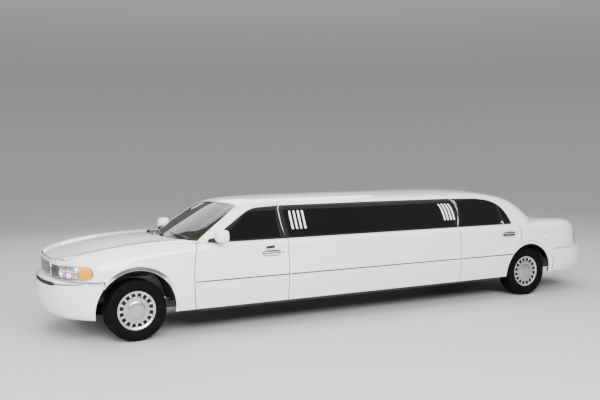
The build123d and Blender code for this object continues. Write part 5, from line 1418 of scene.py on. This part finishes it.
for stem, x0, x1 in (("front", 1.45, 2.28), ("rear", -1.80, -1.26)):
    for side, s in SIDES:
        A = Build()
        A.box(x0, x1, s * 0.835, s * 0.876, 0.640, 0.700, 0, r=0.016)
        A.box(x0 + 0.05, x1 - 0.05, s * 0.862, s * 0.876, 0.74, 0.93, 1, r=0.006)
        A.box(x0 + 0.04, x1 - 0.20, s * 0.850, s * 0.876, 0.36, 0.46, 2, r=0.008)
        A.tube([(x1 - 0.16, s * 0.862, 0.80), (x1 - 0.15, s * 0.846, 0.80), (x1 - 0.07, s * 0.846, 0.80), (x1 - 0.06, s * 0.862, 0.80)], 0.006, 3, n=8)
        A.done("door_card_%s_%s" % (stem, side), [LEATHER_GREY, WOOD, PLASTIC, CHROME], "door_%s_%s" % (stem, side))
cp = Build()
cp.box(-1.84, 1.262, -0.86, 0.86, 0.3575, 0.3600, 0)
cp.box(1.31, 2.10, -0.86, 0.86, 0.3575, 0.3600, 0)
cp.done("cabin_carpet", CARPET)

# ---------------------------------------------------------------- under the hood
EB = Build()
EB.box(2.84, 3.28, -0.165, 0.165, 0.800, 0.834, 0, r=0.014)
for k in range(6):
    EB.box(2.88 + 0.062 * k, 2.90 + 0.062 * k, -0.135, 0.135, 0.833, 0.839, 0, r=0.002)
for s_ in (1, -1):
    EB.box(2.79, 3.34, s_ * 0.210 - 0.035, s_ * 0.210 + 0.035, 0.799, 0.824, 1, r=0.010)
    for k in range(4):
        EB.tube([(2.86 + 0.135 * k, s_ * 0.245, 0.74), (2.86 + 0.135 * k, s_ * 0.285, 0.69), (2.86 + 0.135 * k, s_ * 0.29, 0.60)], 0.018, 2, n=12)
    EB.tube([(2.80, s_ * 0.29, 0.60), (3.32, s_ * 0.29, 0.60)], 0.027, 2, n=14)
EB.box(3.42, 3.60, 0.270, 0.430, 0.540, 0.760, 0, r=0.012)
EB.box(3.415, 3.605, 0.265, 0.435, 0.690, 0.704, 0, r=0.004)
EB.tube([(3.50, 0.275, 0.730), (3.45, 0.20, 0.780), (3.38, 0.10, 0.800), (3.27, 0.05, 0.810)], 0.036, 0, n=16)
EB.box(3.42, 3.60, -0.430, -0.265, 0.560, 0.740, 0, r=0.008)
EB.box(3.418, 3.602, -0.432, -0.263, 0.735, 0.756, 3, r=0.006)
for y in (-0.395, -0.300):
    EB.tube([(3.45, y, 0.754), (3.45, y, 0.772)], 0.009, 1, n=12)
EB.tube([(3.45, -0.300, 0.765), (3.40, -0.28, 0.78), (3.33, -0.25, 0.77), (3.28, -0.24, 0.72)], 0.008, 4, n=10)
for y in (0.14, -0.18):                    # radiator hoses
    EB.tube([(3.38, y, 0.62), (3.46, y, 0.64), (3.55, y * 1.3, 0.70), (3.66, y * 1.4, 0.72)], 0.020, 0, n=14)
EB.done("engine_dress", [PLASTIC, ALLOY, STEEL, GREY_PLASTIC, RED])

# ---------------------------------------------------------------- camera, floor, light
YAW, PITCH, ROLL, F_PX = math.radians(28.01), math.radians(3.28), math.radians(-0.44), 770.7
d = Vector((-math.sin(YAW) * math.cos(PITCH), -math.cos(YAW) * math.cos(PITCH), -math.sin(PITCH)))
r_ = Vector((-math.cos(YAW), math.sin(YAW), 0.0))
u_ = r_.cross(d)
r2 = math.cos(ROLL) * r_ + math.sin(ROLL) * u_
u2 = -math.sin(ROLL) * r_ + math.cos(ROLL) * u_
cam = bpy.data.objects.new("camera", bpy.data.cameras.new("camera"))
SCENE.collection.objects.link(cam)
cam.data.sensor_width = 36.0
cam.data.lens = F_PX * 36.0 / 600.0
cam.matrix_world = Matrix(((r2.x, u2.x, -d.x, 5.419 + SHIFT), (r2.y, u2.y, -d.y, 8.886), (r2.z, u2.z, -d.z, 1.965), (0, 0, 0, 1)))
cam.data.clip_end = 200
SCENE.camera = cam

fl = Build()
n = 24
gx = np.linspace(-40, 40, n)
P = np.array([[(x, y, -0.0005) for y in gx] for x in gx])
fl.grid(P)
floor = fl.done("studio_floor", FLOOR_MAT, sharp=None)
world = bpy.data.worlds.new("studio")
SCENE.world = world
world.use_nodes = True
wt = world.node_tree
wc, ws, wr = wt.nodes.new("ShaderNodeTexCoord"), wt.nodes.new("ShaderNodeSeparateXYZ"), wt.nodes.new("ShaderNodeValToRGB")
wt.links.new(wc.outputs["Generated"], ws.inputs["Vector"])
wt.links.new(ws.outputs["Z"], wr.inputs["Fac"])
wt.links.new(wr.outputs["Color"], wt.nodes["Background"].inputs[0])
wr.color_ramp.interpolation = "EASE"
wr.color_ramp.elements[0].position = 0.0
wr.color_ramp.elements[0].color = (0.50, 0.50, 0.50, 1)
wr.color_ramp.elements[1].position = 0.62
wr.color_ramp.elements[1].color = (1.0, 1.0, 1.0, 1)
for pos_, v_ in ((0.10, 0.42), (0.26, 0.62)):
    e_ = wr.color_ramp.elements.new(pos_)
    e_.color = (v_, v_ * 1.01, v_ * 1.02, 1)
wt.nodes["Background"].inputs[1].default_value = 0.70


def area(name, loc, target, size, size_y, power, color=(1, 1, 1)):
    l = bpy.data.lights.new(name, "AREA")
    l.shape = "RECTANGLE"; l.size = size; l.size_y = size_y; l.energy = power; l.color = color
    o = bpy.data.objects.new(name, l)
    SCENE.collection.objects.link(o)
    o.location = loc
    o.rotation_mode = "QUATERNION"
    o.rotation_quaternion = (Vector(target) - Vector(loc)).to_track_quat("-Z", "Y")


area("key", (3.0, 8.5, 5.6), (0.0, 0, 0.7), 9, 3.5, 1750)
area("top", (0.0, 0.0, 8.0), (0, 0, 0), 16, 11, 820)
area("far", (-2.0, -9.0, 6.0), (0, 0, 0.7), 9, 4, 420)
area("front", (10.0, 2.0, 3.4), (3, 0, 0.6), 5, 3, 420)

# ---------------------------------------------------------------- finishes of the frame's own nodes
KEEP = {
    "chassis_frame": CHASSIS, "sills": CHASSIS, "floor_pan": CHASSIS, "firewall": CHASSIS, "radiator_support": CHASSIS, "rear_panel": CHASSIS,
    "fuel_tank": CHASSIS, "front_suspension": CHASSIS, "rear_axle": CHASSIS, "engine": ALLOY, "knuckle_left": IRON, "knuckle_right": IRON,
    "drive_shaft": STEEL, "exhaust": STEEL, "wheel_housings": LINER, "cowl": RUBBER, "rear_shelf": CARPET, "dashboard": DASH,
    "steering_wheel": DASH, "front_seats": LEATHER, "rear_seat": LEATHER, "side_bench": LEATHER, "bar_cabinet": WOOD, "partition": WOOD,
    "headlamps": LENS, "tail_lamps": RED, "grille": CHROME,
}
for n_, ob in NODES.items():
    m = KEEP.get(n_)
    if m is None:
        m = WHITE if "mirror" in n_ else TYRE if "tyre" in n_ else WHEEL if "wheel_" in n_ else None
    if m is None:
        continue
    ob.data.materials.clear()
    ob.data.materials.append(m)
